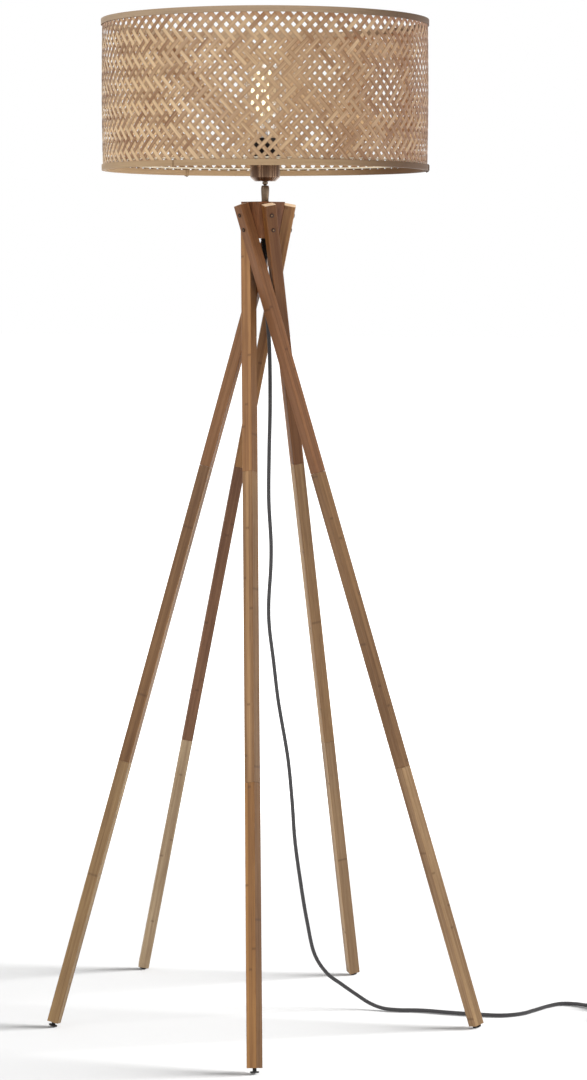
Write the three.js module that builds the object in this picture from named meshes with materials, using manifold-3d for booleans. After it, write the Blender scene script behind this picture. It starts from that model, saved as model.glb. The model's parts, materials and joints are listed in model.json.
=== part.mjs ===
// A floor lamp: five crossed bamboo legs screwed to a wooden hub, a tilting lampholder and a woven bamboo drum shade.
// Millimetres, +Z up, -Y is the front. The lamp's axis is vertical and its feet stand on z = 0.
import * as THREE from 'three';
import { mergeVertices } from 'three/addons/utils/BufferGeometryUtils.js';
import Module from 'manifold-3d';

const wasm = await Module();
wasm.setup();

// Clearance between pieces that touch, and how far a cutting tool runs past what it cuts.
const gap = 0.3;
const overrun = 2;

// Legs: square bamboo bars, each of three sections. Each leg's axis runs from a place on the floor to its seat on the hub
// and ends legTopDrop below the hub's top.
const legSide = 17.5;
const legChamfer = 0.8;
const lowerLength = 420;
const middleLength = 475;
const legTopDrop = 4.5;
const footRadius = 340;
const seatRadius = 31.3;
const seatHeight = 1235;
const seatTurn = 235;
const legs = [
  { name: 'front', footRadiusShare: 1.018, footTurn: -1.1, reachShare: 1 },
  { name: 'right', footRadiusShare: 1.029, footTurn: 76.3, reachShare: 0.33 },
  { name: 'back_right', footRadiusShare: 0.885, footTurn: 148.6, reachShare: 0.33 },
  { name: 'back_left', footRadiusShare: 1.027, footTurn: 214.3, reachShare: 0.33 },
  { name: 'left', footRadiusShare: 0.981, footTurn: 285.2, reachShare: 0.9 },
];

// Levelling feet: a glide on a threaded stem, wound out of the leg's end by a share of footReach.
const glideRadius = 6.75;
const glideThickness = 2.6;
const glideBevel = 0.5;
const footReach = 4.5;
const footStemRadius = 3;
const footStemLength = 30;
const footBoreDepth = 32;

// Studs that join a leg's sections, and the screws that hold a leg to the hub.
const studRadius = 3;
const studLength = 36;
const screwRadius = 1.7;
const screwLength = 29;
const screwHeadRadius = 3.3;
const screwHeadHeight = 1.8;
const screwHeadCrownShare = 0.6;
const screwSocketRadius = 1.3;
const screwSocketDepth = 0.9;
const screwFromTop = 16;
const screwSpacing = 23;

// Hub: a five-sided block that widens upwards, so that each face lies along its leg.
const hubBelowSeat = 12;
const hubHeight = 56;
const wireRadius = 2.5;
const hubBottomHeight = seatHeight - hubBelowSeat;
const hubTop = hubBottomHeight + hubHeight;

// Stem with the socket of the ball swivel in its top.
const stemBaseRadius = 5.5;
const stemRadius = 6.4;
const stemHeight = 24.9;
const stemShoulder = 6;
const stemTopRadius = 4.7;
const tenonRadius = 5;
const tenonLength = 30;

// Ball swivel: the ball's centre lies ballDrop below the stem's top, on a friction washer.
const ballRadius = 3.9;
const ballDrop = 4.7;
const washerThickness = 0.8;
const washerAngle = 62;
const mouthHeight = 2.7;
const mouthRadius = 3.8;
const neckRadius = 2.2;
const neckLength = 6.6;
const collarRadius = 3.9;
const collarHeight = 3.9;
const threadRadius = 2.5;
const threadLength = 7;

// The head sits a little off plumb on its swivel: degrees about X and Y.
const headTilt = [-0.25, -0.4];

// Lampholder in its metal cup.
const cupRadius = 22.7;
const cupBaseRadius = 16.2;
const cupChamfer = 6.3;
const cupHeight = 31.5;
const cupWall = 1.2;
const flangeHeight = 2.7;
const skirtRadius = 18.8;
const skirtHeight = 32;
const holderBoreDepth = 27.5;

// Screw-cap bulb: a clear drop-shaped glass in a metal cap.
const capRadius = 13;
const capHeight = 27;
const capContactRadius = 4;
const capShoulder = 5;
const capWall = 1;
const glassRadius = 32;
const glassLength = 128;
const glassNeckDepth = 10;
const glassWall = 1.1;

// Shade: a woven wall between two rims, carried by a wire spider clamped on the lampholder.
const shadeRadius = 252;
const shadeHeight = 230.4;
const shadeDrop = 18.5;
const rimHeight = 9.5;
const bandThickness = 1.4;
const rimFold = 2;
const wallThickness = 2.5;
const latticeCount = 24;
const latticeRows = 6;
const latticeOpenShare = 0.46;
const spiderWireRadius = 1.2;
const spiderRingWidth = 5.2;
const spiderRingThickness = 2;
const spokeCount = 3;
const clampRadius = 23;
const clampHeight = 7;

// Strain relief under the hub.
const gripRadius = 4.7;
const gripLength = 10;
const gripFlangeRadius = 6.5;
const gripFlangeHeight = 2;
const bootRadius = 5;
const bootTipRadius = 3.9;
const bootLength = 30;

// Cord, its coil, the foot switch and the plug.
const cordRadius = 3;
const cordSteps = 80;
const coilX = 590;
const coilY = -38;
const coilOuterRadius = 41;
const coilPitch = 6.8;
const coilLift = 6.7;
const coilLoops = 5;
const switchX = 553;
const switchY = 40;
const switchLength = 54;
const switchWidth = 36;
const switchHeight = 19;
const switchCorner = 7;
const glandRadius = 5.5;
const glandTipRadius = 4;
const glandLength = 8;
const glandHeight = 7;
const pedalLength = 30;
const pedalWidth = 23;
const pedalHeight = 11;
const pedalCorner = 4;
const pedalTravel = 3;
const pedalStand = 4;
const plugWidth = 35;
const plugThickness = 14;
const plugLength = 34;
const plugCorner = 6.8;
const pinRadius = 2;
const pinLength = 19;
const pinSpacing = 19;

// How many sides round pieces get.
const smallSides = 12;
const roundSides = 24;
const shadeSides = 72;
const wireSides = 6;

const material = (color, roughness, metalness = 0) =>
  new THREE.MeshStandardMaterial({ color, roughness, metalness });
const paleBamboo = material(0xc9a26c, 0.55);
const brownBamboo = material(0xa67744, 0.55);
const darkBamboo = material(0x8a5d34, 0.55);
const hubBamboo = material(0x9c6f42, 0.6);
const wovenBamboo = material(0x9a7750, 0.75);
const rimBamboo = material(0x8d7d66, 0.7);
const steel = material(0x8f9194, 0.35, 0.9);
const blackSteel = material(0x2a2725, 0.45, 0.7);
const bronze = material(0x3a2c22, 0.4, 0.8);
const blackPlastic = material(0x191817, 0.5);
const greyPlastic = material(0x37363a, 0.5);
const textile = material(0x47484b, 0.85);
const clearGlass = new THREE.MeshStandardMaterial({
  color: 0xfff1d6, roughness: 0.05, transparent: true, opacity: 0.35,
});
const legFinishes = [
  [brownBamboo, paleBamboo, brownBamboo],
  [paleBamboo, brownBamboo, brownBamboo],
  [paleBamboo, brownBamboo, brownBamboo],
  [paleBamboo, brownBamboo, darkBamboo],
  [paleBamboo, brownBamboo, brownBamboo],
];

const lamp = new THREE.Group();

function add(parent, name, geometry, finish) {
  const mesh = new THREE.Mesh(geometry, finish);
  mesh.name = name;
  parent.add(mesh);
  return mesh;
}

// A geometry as a solid, for a cut or a join, and back.
function solidOf(geometry) {
  const bare = geometry.clone();
  bare.deleteAttribute('normal');
  bare.deleteAttribute('uv');
  const merged = mergeVertices(bare);
  const corners = [...merged.index.array];
  const kept = corners.filter((corner, i) => {
    const first = i - (i % 3);
    const [a, b, c] = corners.slice(first, first + 3);
    return a !== b && b !== c && c !== a;
  });
  return new wasm.Manifold(new wasm.Mesh({
    numProp: 3,
    vertProperties: merged.attributes.position.array,
    triVerts: new Uint32Array(kept),
  }));
}

function geometryOf(solid) {
  const mesh = solid.getMesh();
  const geometry = new THREE.BufferGeometry();
  geometry.setAttribute('position', new THREE.BufferAttribute(mesh.vertProperties, 3));
  geometry.setIndex(new THREE.BufferAttribute(mesh.triVerts, 1));
  geometry.computeVertexNormals();
  return geometry;
}

const cut = (body, tools) =>
  geometryOf(tools.reduce((solid, tool) => solid.subtract(solidOf(tool)), solidOf(body)));
const join = (bodies) =>
  geometryOf(bodies.map(solidOf).reduce((solid, other) => solid.add(other)));

// A round piece about Z from a profile of [radius, height] points, which runs round the solid anticlockwise.
function turned(profile, sides = roundSides) {
  const points = profile.map(([radius, height]) => new THREE.Vector2(radius, height));
  return new THREE.LatheGeometry(points, sides).rotateX(Math.PI / 2);
}

// A ring's profile has no end on the axis, so it closes on its first point.
const turnedRing = (profile, sides) => turned([...profile, profile[0]], sides);

function rod(radius, from, to, sides = smallSides) {
  return turned([[0, from], [radius, from], [radius, to], [0, to]], sides);
}

function outline(points) {
  return new THREE.Shape(points.map(([x, y]) => new THREE.Vector2(x, y)));
}

function roundedRectangle(length, width, corner) {
  const shape = new THREE.Shape();
  const x = length / 2 - corner;
  const y = width / 2 - corner;
  shape.absarc(x, y, corner, 0, Math.PI / 2);
  shape.absarc(-x, y, corner, Math.PI / 2, Math.PI);
  shape.absarc(-x, -y, corner, Math.PI, Math.PI * 1.5);
  shape.absarc(x, -y, corner, Math.PI * 1.5, Math.PI * 2);
  return shape;
}

function prism(shape, from, to) {
  const geometry = new THREE.ExtrudeGeometry(shape, {
    depth: to - from, bevelEnabled: false, curveSegments: 5,
  });
  return geometry.translate(0, 0, from);
}

// Turned degrees from the front, anticlockwise seen from below, so that 90 is the lamp's right.
function around(radius, degrees, height = 0) {
  const angle = THREE.MathUtils.degToRad(degrees);
  return new THREE.Vector3(radius * Math.sin(angle), -radius * Math.cos(angle), height);
}

// Each leg's frame: Z along the leg, X out of the hub's face, origin at the middle of the leg's lower end.
const legFrames = legs.map((leg, i) => {
  const azimuth = (i * 360) / legs.length + seatTurn;
  const floor = around(footRadius * leg.footRadiusShare, leg.footTurn);
  const seat = around(seatRadius, azimuth, seatHeight);
  const along = seat.clone().sub(floor).normalize();
  const outward = around(1, azimuth);
  outward.addScaledVector(along, -outward.dot(along)).normalize();
  const side = along.clone().cross(outward);
  const reach = footReach * leg.reachShare;
  const lean = Math.acos(along.z);
  const glideEdge = glideRadius - glideBevel;
  const endHeight = glideEdge * Math.sin(lean) + (glideThickness + reach) * Math.cos(lean);
  const end = floor.clone().addScaledVector(along, endHeight / along.z);
  const top = (hubTop - legTopDrop - endHeight) / along.z;
  const matrix = new THREE.Matrix4().makeBasis(outward, side, along).setPosition(end);
  const facePoint = seat.clone().addScaledVector(outward, -legSide / 2 - gap);
  const lowSide = Math.atan2(-side.z, -outward.z);
  return { ...leg, matrix, outward, facePoint, reach, lowSide, top };
});

const middleStart = lowerLength + gap;
const upperStart = middleStart + middleLength + gap;
const screwHeights = ({ top }) => [top - screwFromTop - screwSpacing, top - screwFromTop];
const screwTip = legSide / 2 + gap - screwLength;

// A rod along a leg's X, at a height along the leg.
const acrossLeg = (radius, from, to, height) =>
  rod(radius, from, to).rotateY(Math.PI / 2).translate(0, 0, height);

function legSection(from, length, bores) {
  const half = legSide / 2;
  const flat = half - legChamfer;
  const section = outline([
    [half, -flat], [half, flat], [flat, half], [-flat, half],
    [-half, flat], [-half, -flat], [-flat, -half], [flat, -half],
  ]);
  return cut(prism(section, from, from + length), bores);
}

const studBore = (joint) =>
  rod(studRadius + gap, joint - studLength / 2 - gap, joint + studLength / 2 + gap);

function screwProfile() {
  const seat = legSide / 2 + gap;
  const crown = seat + screwHeadHeight;
  return turned([
    [0, screwTip], [screwRadius, screwTip], [screwRadius, seat], [screwHeadRadius, seat],
    [screwHeadRadius, seat + screwHeadHeight / 2], [screwHeadRadius * screwHeadCrownShare, crown],
    [screwSocketRadius, crown], [screwSocketRadius, crown - screwSocketDepth], [0, crown - screwSocketDepth],
  ], smallSides).rotateY(Math.PI / 2);
}

function levellingFoot(reach) {
  const glideTop = -reach;
  const glideBottom = glideTop - glideThickness;
  return turned([
    [0, glideBottom], [glideRadius - glideBevel, glideBottom], [glideRadius, glideBottom + glideBevel],
    [glideRadius, glideTop - glideBevel], [glideRadius - glideBevel, glideTop], [footStemRadius, glideTop],
    [footStemRadius, glideTop + footStemLength], [0, glideTop + footStemLength],
  ], smallSides);
}

legFrames.forEach((frame, i) => {
  const leg = new THREE.Group();
  leg.applyMatrix4(frame.matrix);
  lamp.add(leg);
  const [lowerFinish, middleFinish, upperFinish] = legFinishes[i];
  const footBore = rod(footStemRadius + gap, -overrun, footBoreDepth);
  const [lowScrew, highScrew] = screwHeights(frame);
  const holes = [lowScrew, highScrew].map((height) =>
    acrossLeg(screwRadius + gap, -legSide / 2 - overrun, legSide / 2 + overrun, height));
  const lower = legSection(0, lowerLength, [footBore, studBore(lowerLength)]);
  const middle = legSection(middleStart, middleLength, [studBore(lowerLength), studBore(upperStart)]);
  const upper = legSection(upperStart, frame.top - upperStart, [studBore(upperStart), ...holes]);
  add(leg, `${frame.name}_leg_lower`, lower, lowerFinish);
  add(leg, `${frame.name}_leg_middle`, middle, middleFinish);
  add(leg, `${frame.name}_leg_upper`, upper, upperFinish);
  for (const [place, joint] of [['lower', lowerLength], ['upper', upperStart]]) {
    const stud = add(leg, `${frame.name}_${place}_stud`, rod(studRadius, -studLength / 2, studLength / 2), steel);
    stud.position.z = joint;
  }
  for (const [place, height] of [['low', lowScrew], ['high', highScrew]]) {
    const screw = add(leg, `${frame.name}_${place}_screw`, screwProfile(), blackSteel);
    screw.position.z = height;
  }
  const foot = add(leg, `${frame.name}_levelling_foot`, levellingFoot(frame.reach), steel);
  foot.rotation.z = frame.lowSide;
});

// Where two neighbouring faces of the hub meet at a height.
function hubCorner(a, b, height) {
  const level = ({ outward, facePoint }) =>
    outward.dot(facePoint) - outward.z * height;
  const [p, q] = [level(a), level(b)];
  const area = a.outward.x * b.outward.y - a.outward.y * b.outward.x;
  return new THREE.Vector3(
    (p * b.outward.y - q * a.outward.y) / area,
    (q * a.outward.x - p * b.outward.x) / area,
    height,
  );
}

// The block's faces are triangles between its lower and upper rings of corners.
function hubBlock() {
  const count = legFrames.length;
  const ring = (height) =>
    legFrames.map((frame, i) => hubCorner(frame, legFrames[(i + 1) % count], height));
  const corners = [...ring(hubBottomHeight), ...ring(hubTop)];
  const faces = [];
  for (let i = 0; i < count; i += 1) {
    const next = (i + 1) % count;
    faces.push(i, next, count + next, i, count + next, count + i);
    if (i > 1) faces.push(0, i, i - 1, count, count + i - 1, count + i);
  }
  const geometry = new THREE.BufferGeometry().setFromPoints(corners);
  geometry.setIndex(faces);
  return geometry;
}

const screwHoles = legFrames.flatMap((frame) => screwHeights(frame).map((height) =>
  acrossLeg(screwRadius + gap, screwTip - gap, -legSide / 2 + overrun, height).applyMatrix4(frame.matrix)));
add(lamp, 'hub_block', cut(hubBlock(), [
  rod(tenonRadius + gap, hubTop - tenonLength - gap, hubTop + overrun, roundSides),
  rod(gripRadius + gap, hubBottomHeight - overrun, hubBottomHeight + gripLength + gap, roundSides),
  rod(wireRadius, hubBottomHeight, hubTop),
  ...screwHoles,
]), hubBamboo);

// Heights up the lamp's axis.
const stemBottom = hubTop + gap;
const stemTop = stemBottom + stemHeight;
const ballHeight = stemTop - ballDrop;
const collarBottom = ballHeight + neckLength;
const cupBottom = collarBottom + collarHeight + gap;
const cupTop = cupBottom + cupHeight;
const flangeBottom = cupTop + gap;
const flangeTop = flangeBottom + flangeHeight;
const holderTop = flangeTop + skirtHeight;
const holderBoreBottom = holderTop - holderBoreDepth;

// Points of an arc about the ball's centre, by angle up from the horizontal.
function ballArc(radius, fromDegrees, toDegrees, steps) {
  return Array.from({ length: steps + 1 }, (_, i) => {
    const angle = THREE.MathUtils.degToRad(fromDegrees + ((toDegrees - fromDegrees) * i) / steps);
    return [radius * Math.cos(angle), ballHeight + radius * Math.sin(angle)];
  });
}

// What tilts on the swivel turns about the ball's centre.
const head = new THREE.Group();
head.rotation.set(...headTilt.map(THREE.MathUtils.degToRad), 0);
head.position.set(0, 0, ballHeight).sub(new THREE.Vector3(0, 0, ballHeight).applyEuler(head.rotation));
lamp.add(head);

const angleOf = (rise, radius) => THREE.MathUtils.radToDeg(Math.asin(rise / radius));
const angleAt = (reach, radius) => THREE.MathUtils.radToDeg(Math.acos(reach / radius));

const upperSocket = ballRadius + gap;
const lowerSocket = upperSocket + washerThickness + gap;

function stemProfile() {
  const tenonEnd = stemBottom - gap - tenonLength;
  return turnedRing([
    [wireRadius, tenonEnd], [tenonRadius, tenonEnd], [tenonRadius, stemBottom], [stemBaseRadius, stemBottom],
    [stemRadius, stemTop - stemShoulder], [(stemRadius + stemTopRadius) / 2, stemTop - stemShoulder / 6],
    [stemTopRadius, stemTop], [mouthRadius, stemTop],
    ...ballArc(upperSocket, angleOf(mouthHeight, upperSocket), 0, 4),
    ...ballArc(lowerSocket, 0, -angleAt(wireRadius, lowerSocket), 6),
  ]);
}

function washerProfile() {
  const inner = upperSocket;
  const outer = upperSocket + washerThickness;
  return turnedRing([
    ...ballArc(outer, -angleAt(wireRadius, outer), washerAngle - 90, 4),
    ...ballArc(inner, washerAngle - 90, -angleAt(wireRadius, inner), 4),
  ]);
}

function ballProfile() {
  const threadTop = collarBottom + collarHeight + threadLength;
  return turned([
    ...ballArc(ballRadius, -90, angleAt(neckRadius, ballRadius), 8),
    [neckRadius, collarBottom], [collarRadius, collarBottom], [collarRadius, collarBottom + collarHeight],
    [threadRadius, collarBottom + collarHeight], [threadRadius, threadTop], [0, threadTop],
  ]);
}

function cupProfile() {
  const floor = cupBottom + cupWall;
  const hole = threadRadius + gap;
  const inside = cupRadius - cupWall;
  return turnedRing([
    [hole, cupBottom], [cupBaseRadius, cupBottom], [cupRadius, cupBottom + cupChamfer], [cupRadius, cupTop],
    [inside, cupTop], [inside, cupBottom + cupChamfer], [cupBaseRadius - cupWall / 2, floor], [hole, floor],
  ]);
}

const holderRadius = cupRadius - cupWall - gap;
const holderBoreRadius = capRadius + gap;

function holderProfile() {
  const bottom = cupBottom + cupWall + gap;
  const hole = threadRadius + gap;
  return turnedRing([
    [hole, bottom], [cupBaseRadius - cupWall - gap, bottom], [holderRadius, cupBottom + cupChamfer + gap],
    [holderRadius, flangeBottom], [cupRadius, flangeBottom], [cupRadius, flangeTop],
    [skirtRadius, flangeTop], [skirtRadius, holderTop], [holderBoreRadius, holderTop],
    [holderBoreRadius, holderBoreBottom], [hole, holderBoreBottom],
  ]);
}

add(lamp, 'stem', stemProfile(), bronze);
add(lamp, 'swivel_washer', washerProfile(), steel);
add(head, 'swivel_ball', ballProfile(), bronze);
add(head, 'holder_cup', cupProfile(), bronze);
add(head, 'lampholder', holderProfile(), blackPlastic);

// Bulb: the cap stands in the lampholder's bore and holds the neck of the glass.
const capBottom = holderBoreBottom + gap;
const capTop = capBottom + capHeight;
const neckBottom = capTop - glassNeckDepth;
const glassTop = capTop + glassLength - glassNeckDepth;

function capProfile() {
  const inside = capRadius - capWall;
  return turned([
    [0, capBottom], [capContactRadius, capBottom], [capRadius, capBottom + capShoulder], [capRadius, capTop],
    [inside, capTop], [inside, neckBottom - gap], [0, neckBottom - gap],
  ]);
}

// The drop: heights are shares of the glass's length, radii shares of its greatest radius.
const dropShares = [
  [0.08, 0.36], [0.16, 0.4], [0.27, 0.54], [0.4, 0.76], [0.52, 0.93], [0.62, 1], [0.72, 0.985],
  [0.82, 0.88], [0.9, 0.7], [0.96, 0.44],
];

function glassProfile() {
  const neck = capRadius - capWall - gap;
  const skin = (inset) => dropShares.map(([rise, swell]) =>
    [glassRadius * swell - inset, neckBottom + (glassTop - neckBottom) * rise]);
  return turnedRing([
    [neck, neckBottom], ...skin(0), [0, glassTop],
    [0, glassTop - glassWall], ...skin(glassWall).reverse(), [neck - glassWall, neckBottom],
  ]);
}

add(head, 'bulb_cap', capProfile(), steel);
add(head, 'bulb_glass', glassProfile(), clearGlass);

// Shade: the wall stands in the grooves of the two rims.
const shadeBottomHeight = flangeTop - shadeDrop;
const shadeTopHeight = shadeBottomHeight + shadeHeight;
const wallOuter = shadeRadius - bandThickness - gap;
const wallInner = wallOuter - wallThickness;
const rimInner = wallInner - gap - bandThickness;

function rimProfile(height, up) {
  const fold = height + up * rimFold;
  const edge = height + up * rimHeight;
  const profile = [
    [rimInner, height], [shadeRadius, height], [shadeRadius, edge], [wallOuter + gap, edge],
    [wallOuter + gap, fold], [wallInner - gap, fold], [wallInner - gap, edge], [rimInner, edge],
  ];
  return turnedRing(up > 0 ? profile : profile.reverse(), shadeSides);
}

// The crossed strips leave rows of diamond openings, each row half a step round from the one below.
function weaveWall() {
  const wall = turnedRing([
    [wallInner, shadeBottomHeight + rimFold + gap], [wallOuter, shadeBottomHeight + rimFold + gap],
    [wallOuter, shadeTopHeight - rimFold - gap], [wallInner, shadeTopHeight - rimFold - gap],
  ], shadeSides);
  const halfStep = Math.PI / latticeCount;
  const rowStep = (shadeHeight - 2 * rimHeight) / (latticeRows + 1);
  const across = wallOuter * halfStep * latticeOpenShare;
  const upwards = rowStep * latticeOpenShare;
  const diamond = outline([[across, 0], [0, upwards], [-across, 0], [0, -upwards]]);
  const openings = Array.from({ length: latticeCount * latticeRows }, (_, i) => {
    const row = Math.floor(i / latticeCount);
    const height = shadeBottomHeight + rimHeight + (row + 1) * rowStep;
    return prism(diamond, wallInner - overrun, wallOuter + overrun)
      .rotateX(Math.PI / 2)
      .rotateZ((2 * (i % latticeCount) + (row % 2)) * halfStep)
      .translate(0, 0, height);
  });
  return cut(wall, openings);
}

add(head, 'shade_weave', weaveWall(), wovenBamboo);
add(head, 'shade_bottom_rim', rimProfile(shadeBottomHeight, 1), rimBamboo);
add(head, 'shade_top_rim', rimProfile(shadeTopHeight, -1), rimBamboo);

// Spider: a flat ring on the lampholder's flange, three spokes and a wire ring that lies on the bottom rim.
function spider() {
  const ringBottom = flangeTop + gap;
  const ringInner = skirtRadius + gap;
  const hoopRadius = wallInner - gap - spiderWireRadius;
  const hoopHeight = shadeBottomHeight + rimHeight + gap + spiderWireRadius;
  const flatRing = turnedRing([
    [ringInner, ringBottom], [ringInner + spiderRingWidth, ringBottom],
    [ringInner + spiderRingWidth, ringBottom + spiderRingThickness], [ringInner, ringBottom + spiderRingThickness],
  ]);
  const hoop = new THREE.TorusGeometry(hoopRadius, spiderWireRadius, wireSides, shadeSides)
    .translate(0, 0, hoopHeight);
  const spokes = Array.from({ length: spokeCount }, (_, i) => {
    const azimuth = (i * 360) / spokeCount;
    const from = around(clampRadius + gap, azimuth, ringBottom + spiderRingThickness / 2);
    const to = around(hoopRadius, azimuth, hoopHeight);
    const way = to.clone().sub(from);
    const turn = new THREE.Quaternion().setFromUnitVectors(new THREE.Vector3(0, 0, 1), way.clone().normalize());
    return rod(spiderWireRadius, 0, way.length(), wireSides).applyQuaternion(turn).translate(...from.toArray());
  });
  return join([flatRing, hoop, ...spokes]);
}

const clampBottom = flangeTop + gap + spiderRingThickness + gap;
add(head, 'shade_spider', spider(), blackSteel);
add(head, 'shade_clamp_ring', turnedRing([
  [skirtRadius + gap, clampBottom], [clampRadius, clampBottom],
  [clampRadius, clampBottom + clampHeight], [skirtRadius + gap, clampBottom + clampHeight],
]), blackPlastic);

// Strain relief: a barb in the hub, a flange against it and a tapered boot.
const bootTip = hubBottomHeight - gap - gripFlangeHeight - bootLength;
add(lamp, 'strain_relief', turned([
  [0, bootTip], [bootTipRadius, bootTip], [bootRadius, bootTip + bootLength], [gripFlangeRadius, bootTip + bootLength],
  [gripFlangeRadius, hubBottomHeight - gap], [gripRadius, hubBottomHeight - gap],
  [gripRadius, hubBottomHeight + gripLength], [0, hubBottomHeight + gripLength],
]), blackPlastic);

// Cord: down between the legs, out over the floor and off to the right, to the foot switch.
const cordFloor = cordRadius + 0.1 * cordRadius;
const cordStart = bootTip - gap;
const cordRoute = [
  [0, 0, cordStart], [0, 0, 1160], [3, 0, 1120], [8, 0, 1060], [10, 0, 970], [9, 0, 890], [9, 0, 817],
  [13, 0, 750], [13, 1, 715], [10, 2, 655], [11, 3, 620], [18, 4, 565], [26, 6, 501], [42, 10, 408],
  [49, 12, 341], [54, 14, 277], [63, 17, 212], [74, 20, 147], [88, 24, 88], [108, 27, 58], [130, 29, 41],
  [154, 30, 24], [176, 29, 10], [196, 22, 4], [220, 14, cordFloor], [258, 12, cordFloor], [300, 0, cordFloor],
  [345, -11, cordFloor], [386, -16, cordFloor], [416, -5, cordFloor], [440, 18, cordFloor],
  [464, 44, cordFloor], [487, 59, cordFloor], [510, 56, 3.3], [524, 47, 3.8], [534, 42, 5.6],
  [540, switchY, 6.9], [switchX - glandLength - gap, switchY, glandHeight],
].map((place) => new THREE.Vector3(...place));

function cordRun() {
  const section = new THREE.Shape().absarc(0, 0, cordRadius, 0, Math.PI * 2);
  return new THREE.ExtrudeGeometry(section, {
    steps: cordSteps, curveSegments: 4, extrudePath: new THREE.CatmullRomCurve3(cordRoute),
  });
}

// A tube of six sides through points that lie nearly level.
function woundTube(points) {
  const sides = 6;
  const positions = [];
  points.forEach((point, i) => {
    const before = points[Math.max(i - 1, 0)];
    const after = points[Math.min(i + 1, points.length - 1)];
    const along = after.clone().sub(before).normalize();
    const across = new THREE.Vector3(0, 0, 1).cross(along).normalize();
    const upward = along.clone().cross(across);
    for (let k = 0; k < sides; k += 1) {
      const angle = (k * Math.PI * 2) / sides;
      const corner = point.clone()
        .addScaledVector(across, cordRadius * Math.cos(angle))
        .addScaledVector(upward, cordRadius * Math.sin(angle));
      positions.push(...corner.toArray());
    }
  });
  const faces = [];
  const last = (points.length - 1) * sides;
  for (let k = 0; k < sides; k += 1) {
    const next = (k + 1) % sides;
    for (let ring = 0; ring < last; ring += sides) {
      faces.push(ring + k, ring + next, ring + sides + next, ring + k, ring + sides + next, ring + sides + k);
    }
    if (k > 1) faces.push(0, k, k - 1, last, last + k - 1, last + k);
  }
  const geometry = new THREE.BufferGeometry();
  geometry.setAttribute('position', new THREE.Float32BufferAttribute(positions, 3));
  geometry.setIndex(faces);
  return geometry;
}

// Coil: in along the floor, up a layer in the half turn where it reverses, and out again on top.
const loopSteps = 24;
function coilPoint(loop) {
  const halfway = coilLoops / 2;
  const inward = Math.min(loop, coilLoops - loop);
  const radius = coilOuterRadius - coilPitch * inward;
  const climb = THREE.MathUtils.smoothstep(loop, halfway - 1 / 4, halfway + 1 / 4);
  const angle = -loop * Math.PI * 2;
  return new THREE.Vector3(
    coilX + radius * Math.cos(angle),
    coilY + radius * Math.sin(angle),
    cordFloor + coilLift * climb,
  );
}

const switchOut = switchX + switchLength + glandLength + gap;
const coilLead = [
  [switchOut, switchY, glandHeight], [switchOut + 2 * cordRadius, switchY, glandHeight], [632, 38, 5.6], [642.5, 31.5, 4],
  [648.5, 20, cordFloor], [648.5, 5, cordFloor], [643, -11, cordFloor], [634.6, -25, cordFloor],
];
const plugBack = coilY - coilOuterRadius;
const plugAxisX = coilX + coilOuterRadius;
const plugAxisHeight = plugThickness / 2 + gap;
const coilTail = [
  [plugAxisX, coilY - 14, cordFloor + coilLift * 0.95],
  [plugAxisX, plugBack + glandLength + gap + 2 * cordRadius, plugAxisHeight],
  [plugAxisX, plugBack + glandLength + gap, plugAxisHeight],
];

function coilPoints() {
  const loops = Array.from({ length: coilLoops * loopSteps + 1 }, (_, i) => coilPoint(i / loopSteps));
  const smooth = (places, steps) =>
    new THREE.CatmullRomCurve3(places, false, 'centripetal').getSpacedPoints(steps);
  const lead = smooth([...coilLead.map((place) => new THREE.Vector3(...place)), loops[0]], 14);
  const tail = smooth([loops[loops.length - 1], ...coilTail.map((place) => new THREE.Vector3(...place))], 5);
  return [...lead.slice(0, -1), ...loops, ...tail.slice(1)];
}

// The least gap between turns: points more than a quarter of a loop apart along the cord.
function leastGap(points) {
  let least = Infinity;
  points.forEach((point, i) => {
    for (let j = i + loopSteps / 4; j < points.length; j += 1) {
      least = Math.min(least, point.distanceTo(points[j]) - 2 * cordRadius);
    }
  });
  return least;
}

const woundPoints = coilPoints();
console.log(`least gap between the coil's turns: ${leastGap(woundPoints).toFixed(2)} mm`);
const runCurve = new THREE.CatmullRomCurve3(cordRoute);
const woundLength = woundPoints.slice(1).reduce((sum, point, i) => sum + point.distanceTo(woundPoints[i]), 0);
console.log(`cord: ${runCurve.getLength().toFixed(0)} mm to the switch, ${woundLength.toFixed(0)} mm from it to the plug`);
add(lamp, 'cord_run', cordRun(), textile);
add(lamp, 'cord_coil', woundTube(woundPoints), textile);

// Foot switch: a low housing with a gland at each end and a pedal in a well.
function switchBody() {
  const body = prism(roundedRectangle(switchLength, switchWidth, switchCorner), 0, switchHeight);
  const well = prism(
    roundedRectangle(pedalLength + 2 * gap, pedalWidth + 2 * gap, pedalCorner + gap),
    switchHeight + pedalStand - pedalHeight - pedalTravel - gap, switchHeight + overrun,
  );
  const gland = (turn) => turned([
    [0, 0], [glandRadius, 0], [glandRadius, switchLength / 2],
    [glandTipRadius, switchLength / 2 + glandLength], [0, switchLength / 2 + glandLength],
  ], smallSides).rotateY(turn).translate(0, 0, glandHeight);
  return cut(join([body, gland(Math.PI / 2), gland(-Math.PI / 2)]), [well])
    .translate(switchX + switchLength / 2, switchY, 0);
}

add(lamp, 'foot_switch_body', switchBody(), greyPlastic);
const pedal = add(lamp, 'foot_switch_pedal', prism(
  roundedRectangle(pedalLength, pedalWidth, pedalCorner), 0, pedalHeight,
), blackPlastic);
pedal.position.set(switchX + switchLength / 2, switchY, switchHeight + pedalStand - pedalHeight);

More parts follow.
